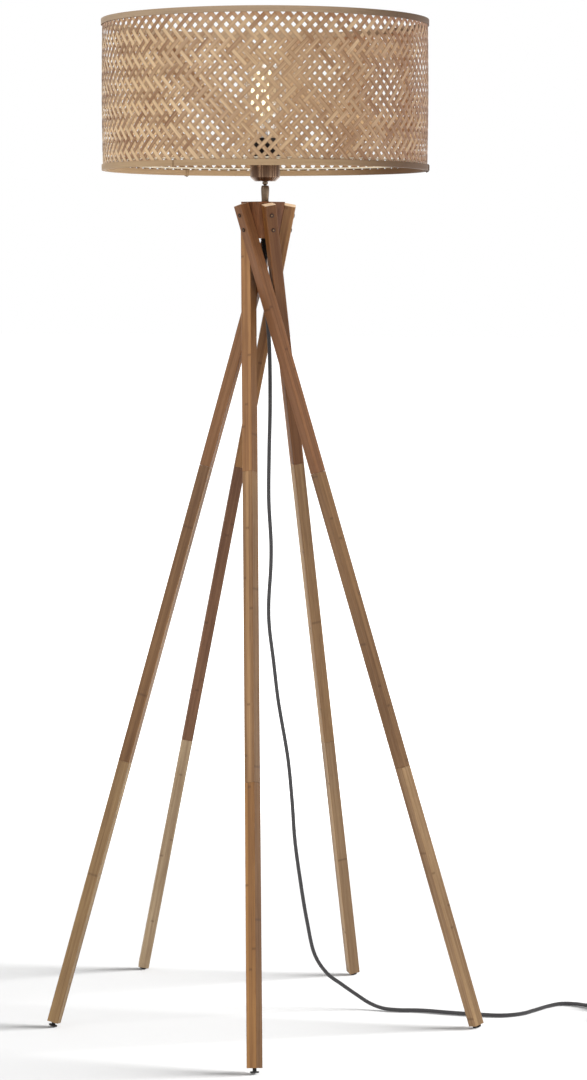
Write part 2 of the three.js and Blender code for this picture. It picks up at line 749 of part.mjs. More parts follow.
// Plug: a flat body with a boot behind and two pins in front, lying beside the coil.
function plugSolid() {
  const body = prism(roundedRectangle(plugWidth, plugThickness, plugCorner), 0, plugLength);
  const boot = turned([
    [0, -glandLength], [glandTipRadius, -glandLength], [glandRadius, overrun], [0, overrun],
  ], smallSides);
  const pins = [-1, 1].map((sign) =>
    rod(pinRadius, plugLength - overrun, plugLength + pinLength).translate((sign * pinSpacing) / 2, 0, 0));
  return join([body, boot, ...pins]).rotateX(Math.PI / 2);
}

const plug = add(lamp, 'plug', plugSolid(), greyPlastic);
plug.position.set(plugAxisX, plugBack, plugAxisHeight);

// The origin is below the middle of the lamp's box, leaving out the cord and what is on it.
const onCord = ['cord_run', 'cord_coil', 'foot_switch_body', 'foot_switch_pedal', 'plug'];
const box = new THREE.Box3();
lamp.updateMatrixWorld(true);
lamp.traverse((piece) => {
  if (piece.isMesh && !onCord.includes(piece.name)) box.expandByObject(piece, true);
});
const middle = box.getCenter(new THREE.Vector3());
lamp.position.set(-middle.x, -middle.y, -box.min.z);

export default lamp;
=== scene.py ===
import json
from math import cos, pi, radians, sin, tau
from types import SimpleNamespace

import bmesh
import bpy
import numpy as np
from mathutils import Matrix, Vector


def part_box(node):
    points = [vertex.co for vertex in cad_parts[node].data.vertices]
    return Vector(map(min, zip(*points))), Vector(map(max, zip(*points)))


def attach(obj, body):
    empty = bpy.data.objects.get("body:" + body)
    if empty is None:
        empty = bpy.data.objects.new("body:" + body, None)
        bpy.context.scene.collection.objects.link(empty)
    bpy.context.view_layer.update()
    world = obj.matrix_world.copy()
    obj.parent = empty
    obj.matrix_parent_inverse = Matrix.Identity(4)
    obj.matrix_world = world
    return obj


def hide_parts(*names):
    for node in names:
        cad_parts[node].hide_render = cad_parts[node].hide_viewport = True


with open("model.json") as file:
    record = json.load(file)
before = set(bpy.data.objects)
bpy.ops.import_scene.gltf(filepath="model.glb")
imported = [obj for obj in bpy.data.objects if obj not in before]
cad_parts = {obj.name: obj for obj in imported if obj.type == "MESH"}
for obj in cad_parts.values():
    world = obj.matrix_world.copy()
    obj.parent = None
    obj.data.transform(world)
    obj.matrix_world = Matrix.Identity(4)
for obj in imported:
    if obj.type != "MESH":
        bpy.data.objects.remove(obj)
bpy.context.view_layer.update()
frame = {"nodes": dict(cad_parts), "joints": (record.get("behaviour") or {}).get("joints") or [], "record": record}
nodes = frame["nodes"]
chance = np.random.default_rng(7)
print("frame loaded:", len(nodes), "nodes")


def named(sizes):
    # a dictionary's values, read as size.name
    return SimpleNamespace(**sizes)


# The head leans a little on its swivel, as the solids do: degrees about X, then about Y, and the ball's
# height.
headLean = dict(nod=-0.25, sway=-0.4, pivot=1.2995)


def middleOf(node):
    # the centre of a solid's box, half way between its lowest and its highest corner
    low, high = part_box(node)
    return (np.array(low) + np.array(high)) / 2


lampAxis = np.array([*middleOf("stem")[:2], 0.0])
ballCentre = lampAxis + [0, 0, headLean["pivot"]]
headTurn = np.array(
    Matrix.Rotation(radians(headLean["nod"]), 3, "X") @ Matrix.Rotation(radians(headLean["sway"]), 3, "Y")
)


def inPlace(points):
    # points that are in the row frame already
    return np.asarray(points, float)


def onAxis(points):
    # points round the lamp's axis, moved into the row frame
    return np.asarray(points, float) + lampAxis


def onHead(points):
    # points round the lamp's axis, moved into the row frame and leaned about the ball's centre
    return (onAxis(points) - ballCentre) @ headTurn.T + ballCentre


cameraSizes = dict(
    place=(0.0, -4.51917, 1.19275),
    ahead=(0.010572, 0.995284, -0.096427),
    up=(-0.006785, 0.096501, 0.995310),
    focal=2907.76,  # in the photograph's pixels
    longSide=1080,
    sensor=36,
    farthest=60,
)


def makeCamera():
    # the lens is the sensor's width times the focal length over the picture's long side
    size = named(cameraSizes)
    data = bpy.data.cameras.new("camera")
    data.sensor_width = size.sensor
    data.lens = size.focal / size.longSide * size.sensor
    data.clip_end = size.farthest
    camera = bpy.data.objects.new("camera", data)
    ahead = Vector(size.ahead).normalized()
    right = ahead.cross(Vector(size.up)).normalized()
    turn = Matrix((right, right.cross(ahead), -ahead)).transposed()
    camera.matrix_world = Matrix.Translation(onAxis(size.place)) @ turn.to_4x4()
    bpy.context.scene.collection.objects.link(camera)
    bpy.context.scene.camera = camera


makeCamera()
print("camera made")


def unit(vectors):
    # each vector over its own length
    return vectors / np.linalg.norm(vectors, axis=-1)[..., None]


def runOf(path):
    # how far along a path each of its points lies: the sum of the steps before it
    return np.concatenate([[0], np.cumsum(np.linalg.norm(np.diff(path, axis=0), axis=1))])


def spun(radius, angle, height):
    # points round Z: x = radius cos angle, y = radius sin angle
    return np.stack(np.broadcast_arrays(radius * np.cos(angle), radius * np.sin(angle), height), -1)


def around(radius, angle, height):
    # points round Z whose angle starts at the front and grows to the right: x = radius sin angle, y = -radius
    # cos angle
    return np.stack(np.broadcast_arrays(radius * np.sin(angle), -radius * np.cos(angle), height), -1)


def gridFaces(rows, columns):
    # the quads between neighbouring points of a grid with that many rows and columns
    i, j = np.meshgrid(np.arange(rows - 1), np.arange(columns - 1), indexing="ij")
    corner = i * columns + j
    return np.stack([corner, corner + 1, corner + columns + 1, corner + columns], -1).reshape(-1, 4)


def joined(*parts):
    # several (points, faces, uv) surfaces as one, each one's faces counted on from the points before it
    points, faces, uvs, start = [], [], [], 0
    for part in parts:
        points.append(part[0])
        faces += [face + start for face in part[1]]
        uvs.append(part[2])
        start += len(part[0])
    return np.concatenate(points), faces, np.concatenate(uvs)


def moved(part, place=(0, 0, 0), turn=None):
    # a surface turned about the origin and then shifted: point = turn point + place
    points = part[0] if turn is None else part[0] @ np.asarray(turn, float).T
    return points + np.asarray(place, float), part[1], part[2]


def boxProfile(inner, outer, low, high):
    # the four corners of a ring's section, as (radius, height)
    return [(inner, low), (outer, low), (outer, high), (inner, high)]


def softened(profile, radius, closed=True, steps=4, most=0.42):
    # each corner gives way to the curve start (1 - t)^2 + 2 corner t (1 - t) + end t^2, whose ends lie radius
    # away from it, or that share of its shorter side at most
    points = np.asarray(profile, float)
    before, after = np.roll(points, 1, 0) - points, np.roll(points, -1, 0) - points
    lengths = [np.linalg.norm(way, axis=1) for way in (before, after)]
    reach = np.minimum(radius, most * np.minimum(*lengths))
    reach[points[:, 0] < 1e-6] = 0  # a point on the axis stays sharp
    if not closed:
        reach[[0, -1]] = 0
    starts = points + before / lengths[0][:, None].clip(1e-9) * reach[:, None]
    ends = points + after / lengths[1][:, None].clip(1e-9) * reach[:, None]
    t = np.linspace(0, 1, steps)[None, :, None]
    curve = starts[:, None] * (1 - t) ** 2 + 2 * points[:, None] * t * (1 - t) + ends[:, None] * t**2
    kept = [curve[i] if reach[i] > 0 else points[i : i + 1] for i in range(len(points))]
    return np.concatenate(kept)


def revolved(profile, sides, closed=False, ripple=None):
    # a profile of (radius, height) carried round Z, its last point joined to its first where it is closed;
    # ripple gives a factor of the radius at each angle
    profile = np.asarray(profile, float)
    if closed:
        profile = np.concatenate([profile, profile[:1]])
    angle = np.linspace(0, tau, sides + 1)[:, None]
    swell = np.ones_like(angle) if ripple is None else ripple(angle)
    points = spun(profile[None, :, 0] * swell, angle, profile[:, 1])
    uv = np.stack(np.broadcast_arrays(angle * profile[:, 0].max(), runOf(profile)[None]), -1)
    return points.reshape(-1, 3), list(gridFaces(sides + 1, len(profile))), uv.reshape(-1, 2)


def roundedOutline(length, width, corner, steps=8):
    # a rectangle with round corners, run round anticlockwise: each corner is a quarter circle turned by k
    # quarters
    angle = np.linspace(0, pi / 2, steps)
    quarter = np.stack([np.cos(angle), np.sin(angle)], -1) * corner
    reach = np.array([length / 2 - corner, width / 2 - corner])
    corners = []
    for k, sign in enumerate([(1, 1), (-1, 1), (-1, -1), (1, -1)]):
        c, s = cos(k * pi / 2), sin(k * pi / 2)
        corners.append(quarter @ np.array([[c, s], [-s, c]]) + reach * sign)
    return np.concatenate(corners)


def lofted(length, width, corner, levels, steps=8, leastCorner=0.15):
    # rounded rectangles stacked up Z: levels are (height, inset) pairs, and the ends are closed
    rings = []
    for height, inset in levels:
        bend = max(corner - inset, corner * leastCorner)
        ring = roundedOutline(length - 2 * inset, width - 2 * inset, bend, steps)
        rings.append(np.column_stack([ring, np.full(len(ring), height)]))
    columns = len(rings[0]) + 1
    points = np.concatenate([np.concatenate([ring, ring[:1]]) for ring in rings])
    faces = list(gridFaces(len(rings), columns))
    faces += [np.arange(columns - 1)[::-1], np.arange(columns - 1) + (len(rings) - 1) * columns]
    return points, faces, points[:, :2] + points[:, 2:] * [[0.3, 1]]


def tubeAlong(path, radius, sides=16, reference=(0, 0, 1)):
    # point = path + radius (side cos angle + over sin angle), with side and over square to the path; u runs
    # along it and v once round it
    path = np.asarray(path, float)
    along = unit(np.gradient(path, axis=0))
    side = unit(np.cross(np.broadcast_to(np.asarray(reference, float), path.shape), along))
    over = np.cross(along, side)
    radius = np.broadcast_to(np.asarray(radius, float), len(path))[:, None, None]
    angle = np.linspace(0, tau, sides + 1)[None, :, None]
    points = path[:, None] + radius * (np.cos(angle) * side[:, None] + np.sin(angle) * over[:, None])
    uv = np.stack(np.broadcast_arrays(runOf(path)[:, None], np.linspace(0, 1, sides + 1)[None]), -1)
    faces = list(gridFaces(len(path), sides + 1))
    faces += [np.arange(sides)[::-1], np.arange(sides) + (len(path) - 1) * (sides + 1)]
    return points.reshape(-1, 3), faces, uv.reshape(-1, 2)


def rodBetween(start, end, radius, sides=16):
    # a straight tube of three rings from start to end
    start, end = np.asarray(start, float), np.asarray(end, float)
    upright = abs(end[2] - start[2]) >= 0.9 * np.linalg.norm(end - start)
    return tubeAlong(np.linspace(start, end, 3), radius, sides, (1, 0, 0) if upright else (0, 0, 1))


def turnTo(direction):
    # the turn that takes Z to a direction
    return np.array(Vector(direction).to_track_quat("Z", "Y").to_matrix())


meshSizes = dict(weld=1e-6, sliver=1e-7)


def addPiece(name, part, spot, materials, body, stands=(), sharp=30, tone=None, pick=None):
    # a mesh from arrays, set by spot (inPlace, onAxis or onHead), with its seams and poles closed and its
    # faces out
    points, faces, uv = part
    mesh = bpy.data.meshes.new(name)
    mesh.from_pydata(spot(points).tolist(), [], [list(map(int, face)) for face in faces])
    corners = np.zeros(len(mesh.loops), int)
    mesh.loops.foreach_get("vertex_index", corners)
    mesh.uv_layers.new(name="surface").data.foreach_set("uv", np.asarray(uv)[corners].ravel())
    if tone is not None:
        mesh.attributes.new("tone", "FLOAT", "POINT").data.foreach_set("value", tone.ravel())
    for material in materials:
        mesh.materials.append(material)
    if pick is not None:
        mesh.polygons.foreach_set("material_index", np.asarray(pick, np.int32))
    work = bmesh.new()
    work.from_mesh(mesh)
    bmesh.ops.remove_doubles(work, verts=work.verts, dist=meshSizes["weld"])
    bmesh.ops.dissolve_degenerate(work, dist=meshSizes["sliver"], edges=work.edges)
    bmesh.ops.recalc_face_normals(work, faces=work.faces)
    work.to_mesh(mesh)
    work.free()
    mesh.shade_smooth()
    mesh.set_sharp_from_angle(angle=radians(sharp))
    piece = bpy.data.objects.new(name, mesh)
    bpy.context.scene.collection.objects.link(piece)
    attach(piece, body)
    if stands:
        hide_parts(*stands)
    return piece


def linear(red, green, blue):
    # a screen colour of 0 to 255 as the linear colour that the shaders take: ((c + 0.055) / 1.055)^2.4
    share = np.array([red, green, blue]) / 255
    return (*np.where(share <= 0.04045, share / 12.92, ((share + 0.055) / 1.055) ** 2.4), 1.0)


def tinted(colour, shares):
    # a screen colour with each channel times its own share, as a linear colour
    return linear(*np.minimum(np.array(colour) * shares, 255))


def wire(tree, value, socket):
    # a link to the socket where the value is another node's output, and a constant on it otherwise
    if isinstance(value, bpy.types.NodeSocket):
        tree.links.new(value, socket)
    else:
        socket.default_value = value


def place(tree, kind, values=None, **settings):
    # a shader node of that kind, with its settings and the values of its sockets
    node = tree.nodes.new("ShaderNode" + kind)
    for key, value in settings.items():
        setattr(node, key, value)
    for socket, value in (values or {}).items():
        wire(tree, value, node.inputs[socket])
    return node


def feed(tree, node, **values):
    # values for a node's sockets by name, with _ for a space
    for label, value in values.items():
        wire(tree, value, node.inputs[label.replace("_", " ")])


def calc(tree, operation, first, second=0.0, clamp=False):
    # one step of arithmetic on two values, held between 0 and 1 where clamp says so
    return place(tree, "Math", {0: first, 1: second}, operation=operation, use_clamp=clamp).outputs[0]


def plus(tree, first, second):
    # first + second
    return calc(tree, "ADD", first, second)


def minus(tree, first, second):
    # first - second
    return calc(tree, "SUBTRACT", first, second)


def times(tree, first, second):
    # first * second
    return calc(tree, "MULTIPLY", first, second)


def apart(tree, first, second):
    # how far first is from second, without its sign
    return calc(tree, "ABSOLUTE", minus(tree, first, second))


def remap(tree, value, low, high, toLow=0.0, toHigh=1.0):
    # toLow where the value is low and toHigh where it is high, by t^2 (3 - 2t) between them
    values = {"Value": value, 1: low, 2: high, 3: toLow, 4: toHigh}
    return place(tree, "MapRange", values, interpolation_type="SMOOTHSTEP").outputs[0]


def blended(tree, share, first, second):
    # first (1 - share) + second share
    return place(tree, "Mix", {0: share, 6: first, 7: second}, data_type="RGBA").outputs[2]


def noiseOf(tree, vector, scale, detail, roughness):
    # smooth noise of 0 to 1 over a vector
    values = {"Vector": vector, "Scale": scale, "Detail": detail, "Roughness": roughness}
    return place(tree, "TexNoise", values).outputs[0]


def dotNoise(tree, number):
    # white noise of 0 to 1 from a number
    return place(tree, "TexWhiteNoise", {"W": number}, noise_dimensions="1D").outputs[0]


def scaled(tree, vector, scale):
    # a vector with each part times its own scale
    return place(tree, "Mapping", {"Vector": vector, "Scale": scale}).outputs[0]


def partsOf(tree, vector):
    # the x, y and z of a vector
    return place(tree, "SeparateXYZ", {0: vector}).outputs


def vectorOf(tree, x, y, z):
    # a vector from its three parts
    return place(tree, "CombineXYZ", {0: x, 1: y, 2: z}).outputs[0]


def bumped(tree, height, strength, distance):
    # a normal tilted by the slope of a height
    return place(tree, "Bump", {"Height": height, "Strength": strength, "Distance": distance}).outputs[0]


def objectPlace(tree):
    # the piece's own coordinates, in metres
    return place(tree, "TexCoord").outputs["Object"]


def surfacePlace(tree):
    # the mesh's own u and v, in metres
    return place(tree, "UVMap", uv_map="surface").outputs[0]


def shaderGroup(name, takes, gives):
    # an empty node group, its input sockets and its output node; takes and gives name each socket and its
    # kind
    group = bpy.data.node_groups.new(name, "ShaderNodeTree")
    for way, sockets in (("INPUT", takes), ("OUTPUT", gives)):
        for label, kind in sockets.items():
            group.interface.new_socket(name=label, in_out=way, socket_type="NodeSocket" + kind)
    return group, group.nodes.new("NodeGroupInput").outputs, group.nodes.new("NodeGroupOutput")


def useGroup(tree, group, **values):
    # the outputs of a group that is fed with those values
    node = place(tree, "Group", node_tree=group)
    feed(tree, node, **values)
    return node.outputs


def newMaterial(name):
    # a material, its node tree and its shader
    material = bpy.data.materials.new(name)
    material.use_nodes = True
    tree = material.node_tree
    return material, tree, next(node for node in tree.nodes if node.type == "BSDF_PRINCIPLED")


fibreLook = dict(
    fine=(1500, 1500, 22), wide=(260, 260, 3.5), stain=(22, 22, 4), fleck=(900, 900, 60), fineShare=0.45,
    wideShare=0.55, streakGain=1.5, stainGain=0.7, fleckFrom=0.66, fleckTo=0.74, fleckShare=0.4,
    fleckDepth=0.3, streakReach=0.3, rough=0.62, smooth=0.44,
)


def makeFibreGroup():
    # bamboo: the light colour's share is tone + streaks + stains, where the streaks are fine and wide noise
    # drawn out along Z, and small dark flecks lie over it
    look = named(fibreLook)
    group, given, made = shaderGroup(
        "bambooFibre",
        dict(Vector="Vector", Tone="Float", Light="Color", Dark="Color", Contrast="Float"),
        dict(Color="Color", Roughness="Float", Height="Float"),
    )
    vector, contrast, dark = given["Vector"], given["Contrast"], given["Dark"]
    fine = noiseOf(group, scaled(group, vector, look.fine), 1, 3, 0.6)
    wide = noiseOf(group, scaled(group, vector, look.wide), 1, 3, 0.55)
    stain = noiseOf(group, scaled(group, vector, look.stain), 1, 2, 0.5)
    fleck = noiseOf(group, scaled(group, vector, look.fleck), 1, 1, 0.4)
    streak = plus(group, times(group, fine, look.fineShare), times(group, wide, look.wideShare))
    streak = times(group, minus(group, streak, 0.5), times(group, contrast, look.streakGain))
    drift = times(group, minus(group, stain, 0.5), times(group, contrast, look.stainGain))
    share = calc(group, "ADD", plus(group, given["Tone"], streak), drift, clamp=True)
    dots = remap(group, fleck, look.fleckFrom, look.fleckTo)
    colour = blended(group, share, dark, given["Light"])
    feed(
        group, made,
        Color=blended(group, times(group, dots, look.fleckShare), colour, dark),
        Roughness=remap(group, streak, -look.streakReach, look.streakReach, look.rough, look.smooth),
        Height=minus(group, fine, times(group, dots, look.fleckDepth)),
    )
    return group


slatLook = dict(start=100.5, shiftSeed=31.7, shift=7, lineFrom=0.46, knuckleHalf=0.012)


def makeSlatGroup():
    # a bar glued up from slats side by side along X: the number of the slat is the floor of x / width, white
    # noise of it is the slat's tone, and the glue lines and the cane's knuckles lie where a fraction is near
    # its end
    look = named(slatLook)
    group, given, made = shaderGroup(
        "gluedSlats",
        dict(Vector="Vector", Width="Float", Seed="Float", Spacing="Float"),
        dict(Tone="Float", Line="Float", Knuckle="Float"),
    )
    x, _, z = partsOf(group, given["Vector"])
    across = plus(group, calc(group, "DIVIDE", x, given["Width"]), look.start)
    own = plus(group, calc(group, "FLOOR", across), given["Seed"])
    shift = dotNoise(group, plus(group, own, look.shiftSeed))
    height = plus(group, calc(group, "DIVIDE", z, given["Spacing"]), times(group, shift, look.shift))
    edge = apart(group, calc(group, "FRACT", across), 0.5)
    ring = apart(group, calc(group, "FRACT", height), 0.5)
    feed(
        group, made, Tone=dotNoise(group, own), Line=remap(group, edge, look.lineFrom, 0.5),
        Knuckle=remap(group, ring, look.knuckleHalf, 0.0),
    )
    return group


skinLook = dict(
    cloud=45, cloudLow=0.3, cloudHigh=0.7, rubFrom=0.35, rubTo=0.8, light=(1, 0.97, 0.93, 1), lightShare=0.35,
)


def makeSkinGroup():
    # moulded or plated skin: cloudy roughness between two values, the colour rubbed lighter in patches, and a
    # fine orange-peel height
    look = named(skinLook)
    group, given, made = shaderGroup(
        "plainSkin",
        dict(Vector="Vector", Scale="Float", Low="Float", High="Float", Color="Color", Rub="Float"),
        dict(Color="Color", Roughness="Float", Height="Float"),
    )
    cloud = noiseOf(group, given["Vector"], look.cloud, 3, 0.5)
    lighter = blended(group, look.lightShare, given["Color"], look.light)
    share = times(group, remap(group, cloud, look.rubFrom, look.rubTo), given["Rub"])
    feed(
        group, made,
        Color=blended(group, share, given["Color"], lighter),
        Roughness=remap(group, cloud, look.cloudLow, look.cloudHigh, given["Low"], given["High"]),
        Height=noiseOf(group, given["Vector"], given["Scale"], 4, 0.6),
    )
    return group


fibreGroup = makeFibreGroup()
slatGroup = makeSlatGroup()
skinGroup = makeSkinGroup()
print("shared effects made")


# Each finish: its screen colour, lowest and highest roughness, metal, the grain's scale and bump, how much
# lighter it is rubbed, and its shine.
finishLooks = dict(
    stemBronze=((97, 80, 62), 0.26, 0.38, 0.85, 900, 0.03, 0.15, 0.5),
    blackPlastic=((20, 11, 7), 0.45, 0.6, 0.0, 700, 0.12, 0.1, 0.1),
    greyPlastic=((58, 58, 62), 0.4, 0.55, 0.0, 700, 0.12, 0.15, 0.5),
    blackRubber=((20, 11, 5), 0.6, 0.75, 0.0, 500, 0.15, 0.05, 0.15),
    blackSteel=((54, 33, 21), 0.45, 0.6, 0.0, 900, 0.05, 0.05, 0.2),
    blackGlide=((24, 21, 20), 0.4, 0.55, 0.0, 900, 0.05, 0.05, 0.3),
    platedSteel=((172, 172, 175), 0.22, 0.36, 1.0, 900, 0.03, 0.15, 0.5),
    platedPin=((196, 190, 178), 0.18, 0.28, 1.0, 900, 0.02, 0.15, 0.5),
    creamWire=((226, 214, 190), 0.35, 0.5, 0.1, 900, 0.03, 0.15, 0.5),
    brassNail=((128, 98, 66), 0.3, 0.5, 0.8, 900, 0.03, 0.15, 0.5),
)
grainDepth = 0.0004


def skinMaterial(name, colour, low, high, metal, scale, bump, rub, shine):
    # a plain skin in one finish
    material, tree, shader = newMaterial(name)
    skin = useGroup(
        tree, skinGroup, Vector=objectPlace(tree), Scale=scale, Low=low, High=high, Color=linear(*colour),
        Rub=rub,
    )
    feed(
        tree, shader, Base_Color=skin["Color"], Roughness=skin["Roughness"], Metallic=metal,
        Specular_IOR_Level=shine, Normal=bumped(tree, skin["Height"], bump, grainDepth),
    )
    return material


finishes = {name: skinMaterial(name, *look) for name, look in finishLooks.items()}


# The solids of the legs and the hub stay, in bamboo that follows each leg.
legSizes = dict(
    order=["front", "right", "back_right", "back_left", "left"],
    seatTurn=235,
    slatWidth=0.0058,
    spacing=0.27,
    lineShare=0.28,
    knuckleShare=0.5,
    seedShift=(0.37, 0.11, 0.73),
    endLow=0.0005,
    endHigh=0.0003,
)
# The mid colour of each leg's lower, middle and upper bar.
legColours = dict(
    front=[(142, 101, 58), (148, 113, 76), (152, 110, 69)],
    right=[(164, 132, 95), (127, 94, 61), (128, 87, 55)],
    back_right=[(152, 123, 90), (156, 123, 84), (126, 81, 36)],
    back_left=[(165, 142, 112), (125, 90, 64), (142, 103, 64)],
    left=[(162, 132, 90), (136, 100, 61), (127, 86, 48)],
)
# Shares of the mid colour for its lightest fibres, its darkest and its glue lines, and the cut ends' own
# colour.
legTints = dict(light=(1.2, 1.22, 1.24), dark=(0.76, 0.7, 0.66), line=(0.55, 0.47, 0.42), end=(226, 200, 170))


def legTurn(name):
    # world to leg: X out of the hub's face, Z up the leg, and the origin at the disc under it
    index = legSizes["order"].index(name)
    joint = next(joint for joint in frame["joints"] if joint["name"] == name + "_foot_thread")
    mount = next(mount for mount in frame["record"]["mounts"] if mount["name"] == name + "_glide")
    along = -Vector(joint["axis"])
    azimuth = radians(legSizes["seatTurn"] + 360 / len(legSizes["order"]) * index)
    outward = Vector((sin(azimuth), -cos(azimuth), 0))
    outward = (outward - along * outward.dot(along)).normalized()
    return Matrix((outward, along.cross(outward), along)), Vector(mount["pos_m"])


def pointsOf(node):
    # where a solid's points are, in the row frame
    return np.array([vertex.co for vertex in nodes[node].data.vertices])


def legEnd(name, turn, origin):
    # how far up its own axis the leg ends, above the disc
    points = pointsOf(f"{name}_leg_upper")
    return float(((points - np.array(origin)) @ np.array(turn).T)[:, 2].max())


def bambooBar(name, colour, turn, origin, seed, end=None):
    # glued slats along the leg: each has its own tone and fibres, and its glue lines, knuckles and cut end
    # lie over it
    size = named(legSizes)
    material, tree, shader = newMaterial(name)
    values = {"Vector": objectPlace(tree), "Location": -(turn @ origin), "Rotation": turn.to_euler()}
    vector = place(tree, "Mapping", values).outputs[0]
    slats = useGroup(tree, slatGroup, Vector=vector, Width=size.slatWidth, Seed=seed, Spacing=size.spacing)
    shift = tuple(seed * each for each in size.seedShift)
    fibre = useGroup(
        tree, fibreGroup,
        Vector=place(tree, "VectorMath", {0: vector, 1: shift}).outputs[0],
        Tone=remap(tree, slats["Tone"], 0, 1, 0.32, 0.68),
        Light=tinted(colour, legTints["light"]), Dark=tinted(colour, legTints["dark"]), Contrast=1.25,
    )
    shade = tinted(colour, legTints["line"])
    colour = blended(tree, times(tree, slats["Line"], size.lineShare), fibre["Color"], shade)
    colour = blended(tree, times(tree, slats["Knuckle"], size.knuckleShare), colour, shade)
    if end is not None:
        beyond = remap(tree, partsOf(tree, vector)[2], end - size.endLow, end - size.endHigh)
        colour = blended(tree, beyond, colour, linear(*legTints["end"]))
    finishBamboo(tree, shader, colour, fibre)
    return material


def finishBamboo(tree, shader, colour, fibre):
    # the thin dull varnish of the bars and the hub
    feed(
        tree, shader, Base_Color=colour, Roughness=fibre["Roughness"], Specular_IOR_Level=0.3,
        Coat_Weight=0.03, Coat_Roughness=0.3, Normal=bumped(tree, fibre["Height"], 0.12, grainDepth),
    )


def paint(node, material):
    # a solid that stays, in one material
    mesh = nodes[node].data
    mesh.materials.clear()
    mesh.materials.append(material)


def dressLegs():
    # every bar of every leg in its own bamboo, whose seed counts the bars from 1, and the studs in steel
    for index, name in enumerate(legSizes["order"]):
        turn, origin = legTurn(name)
        for part, bar in enumerate(("lower", "middle", "upper")):
            end = legEnd(name, turn, origin) if bar == "upper" else None
            seed = index * 3 + part + 1
            material = bambooBar(f"{name}_{bar}_bamboo", legColours[name][part], turn, origin, seed, end)
            paint(f"{name}_leg_{bar}", material)
        for stud in ("lower", "upper"):
            paint(f"{name}_{stud}_stud", finishes["platedSteel"])


hubLook = dict(
    width=0.0065, seed=51.0, spacing=0.4, light=(138, 91, 58), dark=(84, 50, 30), line=(84, 52, 34),
    lineShare=0.35, dots=620.0, endLight=(168, 128, 94), endDark=(92, 58, 38), endFrom=0.8, endTo=0.95,
)


def hubMaterial():
    # the block's fibres run up it, and its end faces, where the normal's z is near 1, show them cut across as
    # small dark dots
    look = named(hubLook)
    material, tree, shader = newMaterial("hubBamboo")
    centre = Vector(middleOf("hub_block"))
    vector = place(tree, "Mapping", {"Vector": objectPlace(tree), "Location": -centre}).outputs[0]
    slats = useGroup(tree, slatGroup, Vector=vector, Width=look.width, Seed=look.seed, Spacing=look.spacing)
    fibre = useGroup(
        tree, fibreGroup, Vector=vector, Tone=remap(tree, slats["Tone"], 0, 1, 0.3, 0.7),
        Light=linear(*look.light), Dark=linear(*look.dark), Contrast=1.1,
    )
    dots = place(tree, "TexVoronoi", {"Vector": vector, "Scale": look.dots}).outputs[0]
    spotted = blended(tree, remap(tree, dots, 0.45, 0.2), linear(*look.endLight), linear(*look.endDark))
    normal = partsOf(tree, place(tree, "TexCoord").outputs["Normal"])[2]
    onEnd = remap(tree, calc(tree, "ABSOLUTE", normal), look.endFrom, look.endTo)
    colour = blended(tree, times(tree, slats["Line"], look.lineShare), fibre["Color"], linear(*look.line))
    finishBamboo(tree, shader, blended(tree, onEnd, colour, spotted), fibre)
    return material


dressLegs()
paint("hub_block", hubMaterial())
paint("swivel_washer", finishes["platedSteel"])
print("legs and hub dressed")


cordSizes = dict(diameter=0.006, sides=16, floor=0.0033, step=0.0016, fallEnd=0.38, floorStart=0.5)
coilSizes = dict(x=0.590, y=-0.038, outer=0.041, pitch=0.0068, lift=0.0067, loops=5, loopSteps=120)
# From the strain relief down between the legs and over the floor to the switch.
cordRoute = [
    (0, 0, 1.1904), (0, 0, 1.16), (0.003, 0, 1.12), (0.008, 0, 1.06), (0.01, 0, 0.97), (0.009, 0, 0.89),
    (0.009, 0, 0.817), (0.013, 0, 0.75), (0.013, 0.001, 0.715), (0.01, 0.002, 0.655), (0.011, 0.003, 0.62),
    (0.018, 0.004, 0.565), (0.026, 0.006, 0.501), (0.042, 0.01, 0.408), (0.049, 0.012, 0.341),
    (0.054, 0.014, 0.277), (0.063, 0.017, 0.212), (0.074, 0.02, 0.147), (0.088, 0.024, 0.088),
    (0.108, 0.027, 0.058), (0.13, 0.029, 0.041), (0.154, 0.03, 0.024), (0.176, 0.029, 0.01),
    (0.196, 0.022, 0.004), (0.22, 0.014, 0.0033), (0.258, 0.012, 0.0033), (0.3, 0, 0.0033),
    (0.345, -0.011, 0.0033), (0.386, -0.016, 0.0033), (0.416, -0.005, 0.0033), (0.44, 0.018, 0.0033),
    (0.464, 0.044, 0.0033), (0.487, 0.059, 0.0033), (0.51, 0.056, 0.0033), (0.524, 0.047, 0.0038),
    (0.534, 0.042, 0.0056), (0.54, 0.04, 0.0069), (0.5447, 0.04, 0.007),
]
# From the switch round to the coil, and from the coil to the plug.
leadRoute = [
    (0.6153, 0.04, 0.007), (0.6213, 0.04, 0.007), (0.632, 0.038, 0.0056), (0.6425, 0.0315, 0.004),
    (0.6485, 0.02, 0.0033), (0.6485, 0.005, 0.0033), (0.643, -0.011, 0.0033), (0.6346, -0.025, 0.0033),
]
tailRoute = [(0.631, -0.052, 0.009665), (0.631, -0.0647, 0.0073), (0.631, -0.0707, 0.0073)]


def evenly(curve, count):
    # a path's points spaced alike: as many equal steps of its length as count says
    run = runOf(curve)
    return np.stack([np.interp(np.linspace(0, run[-1], count + 1), run, column) for column in curve.T], -1)


def stepped(curve, step):
    # a path's points about one step apart
    return evenly(curve, max(int(round(runOf(curve)[-1] / step)), 2))


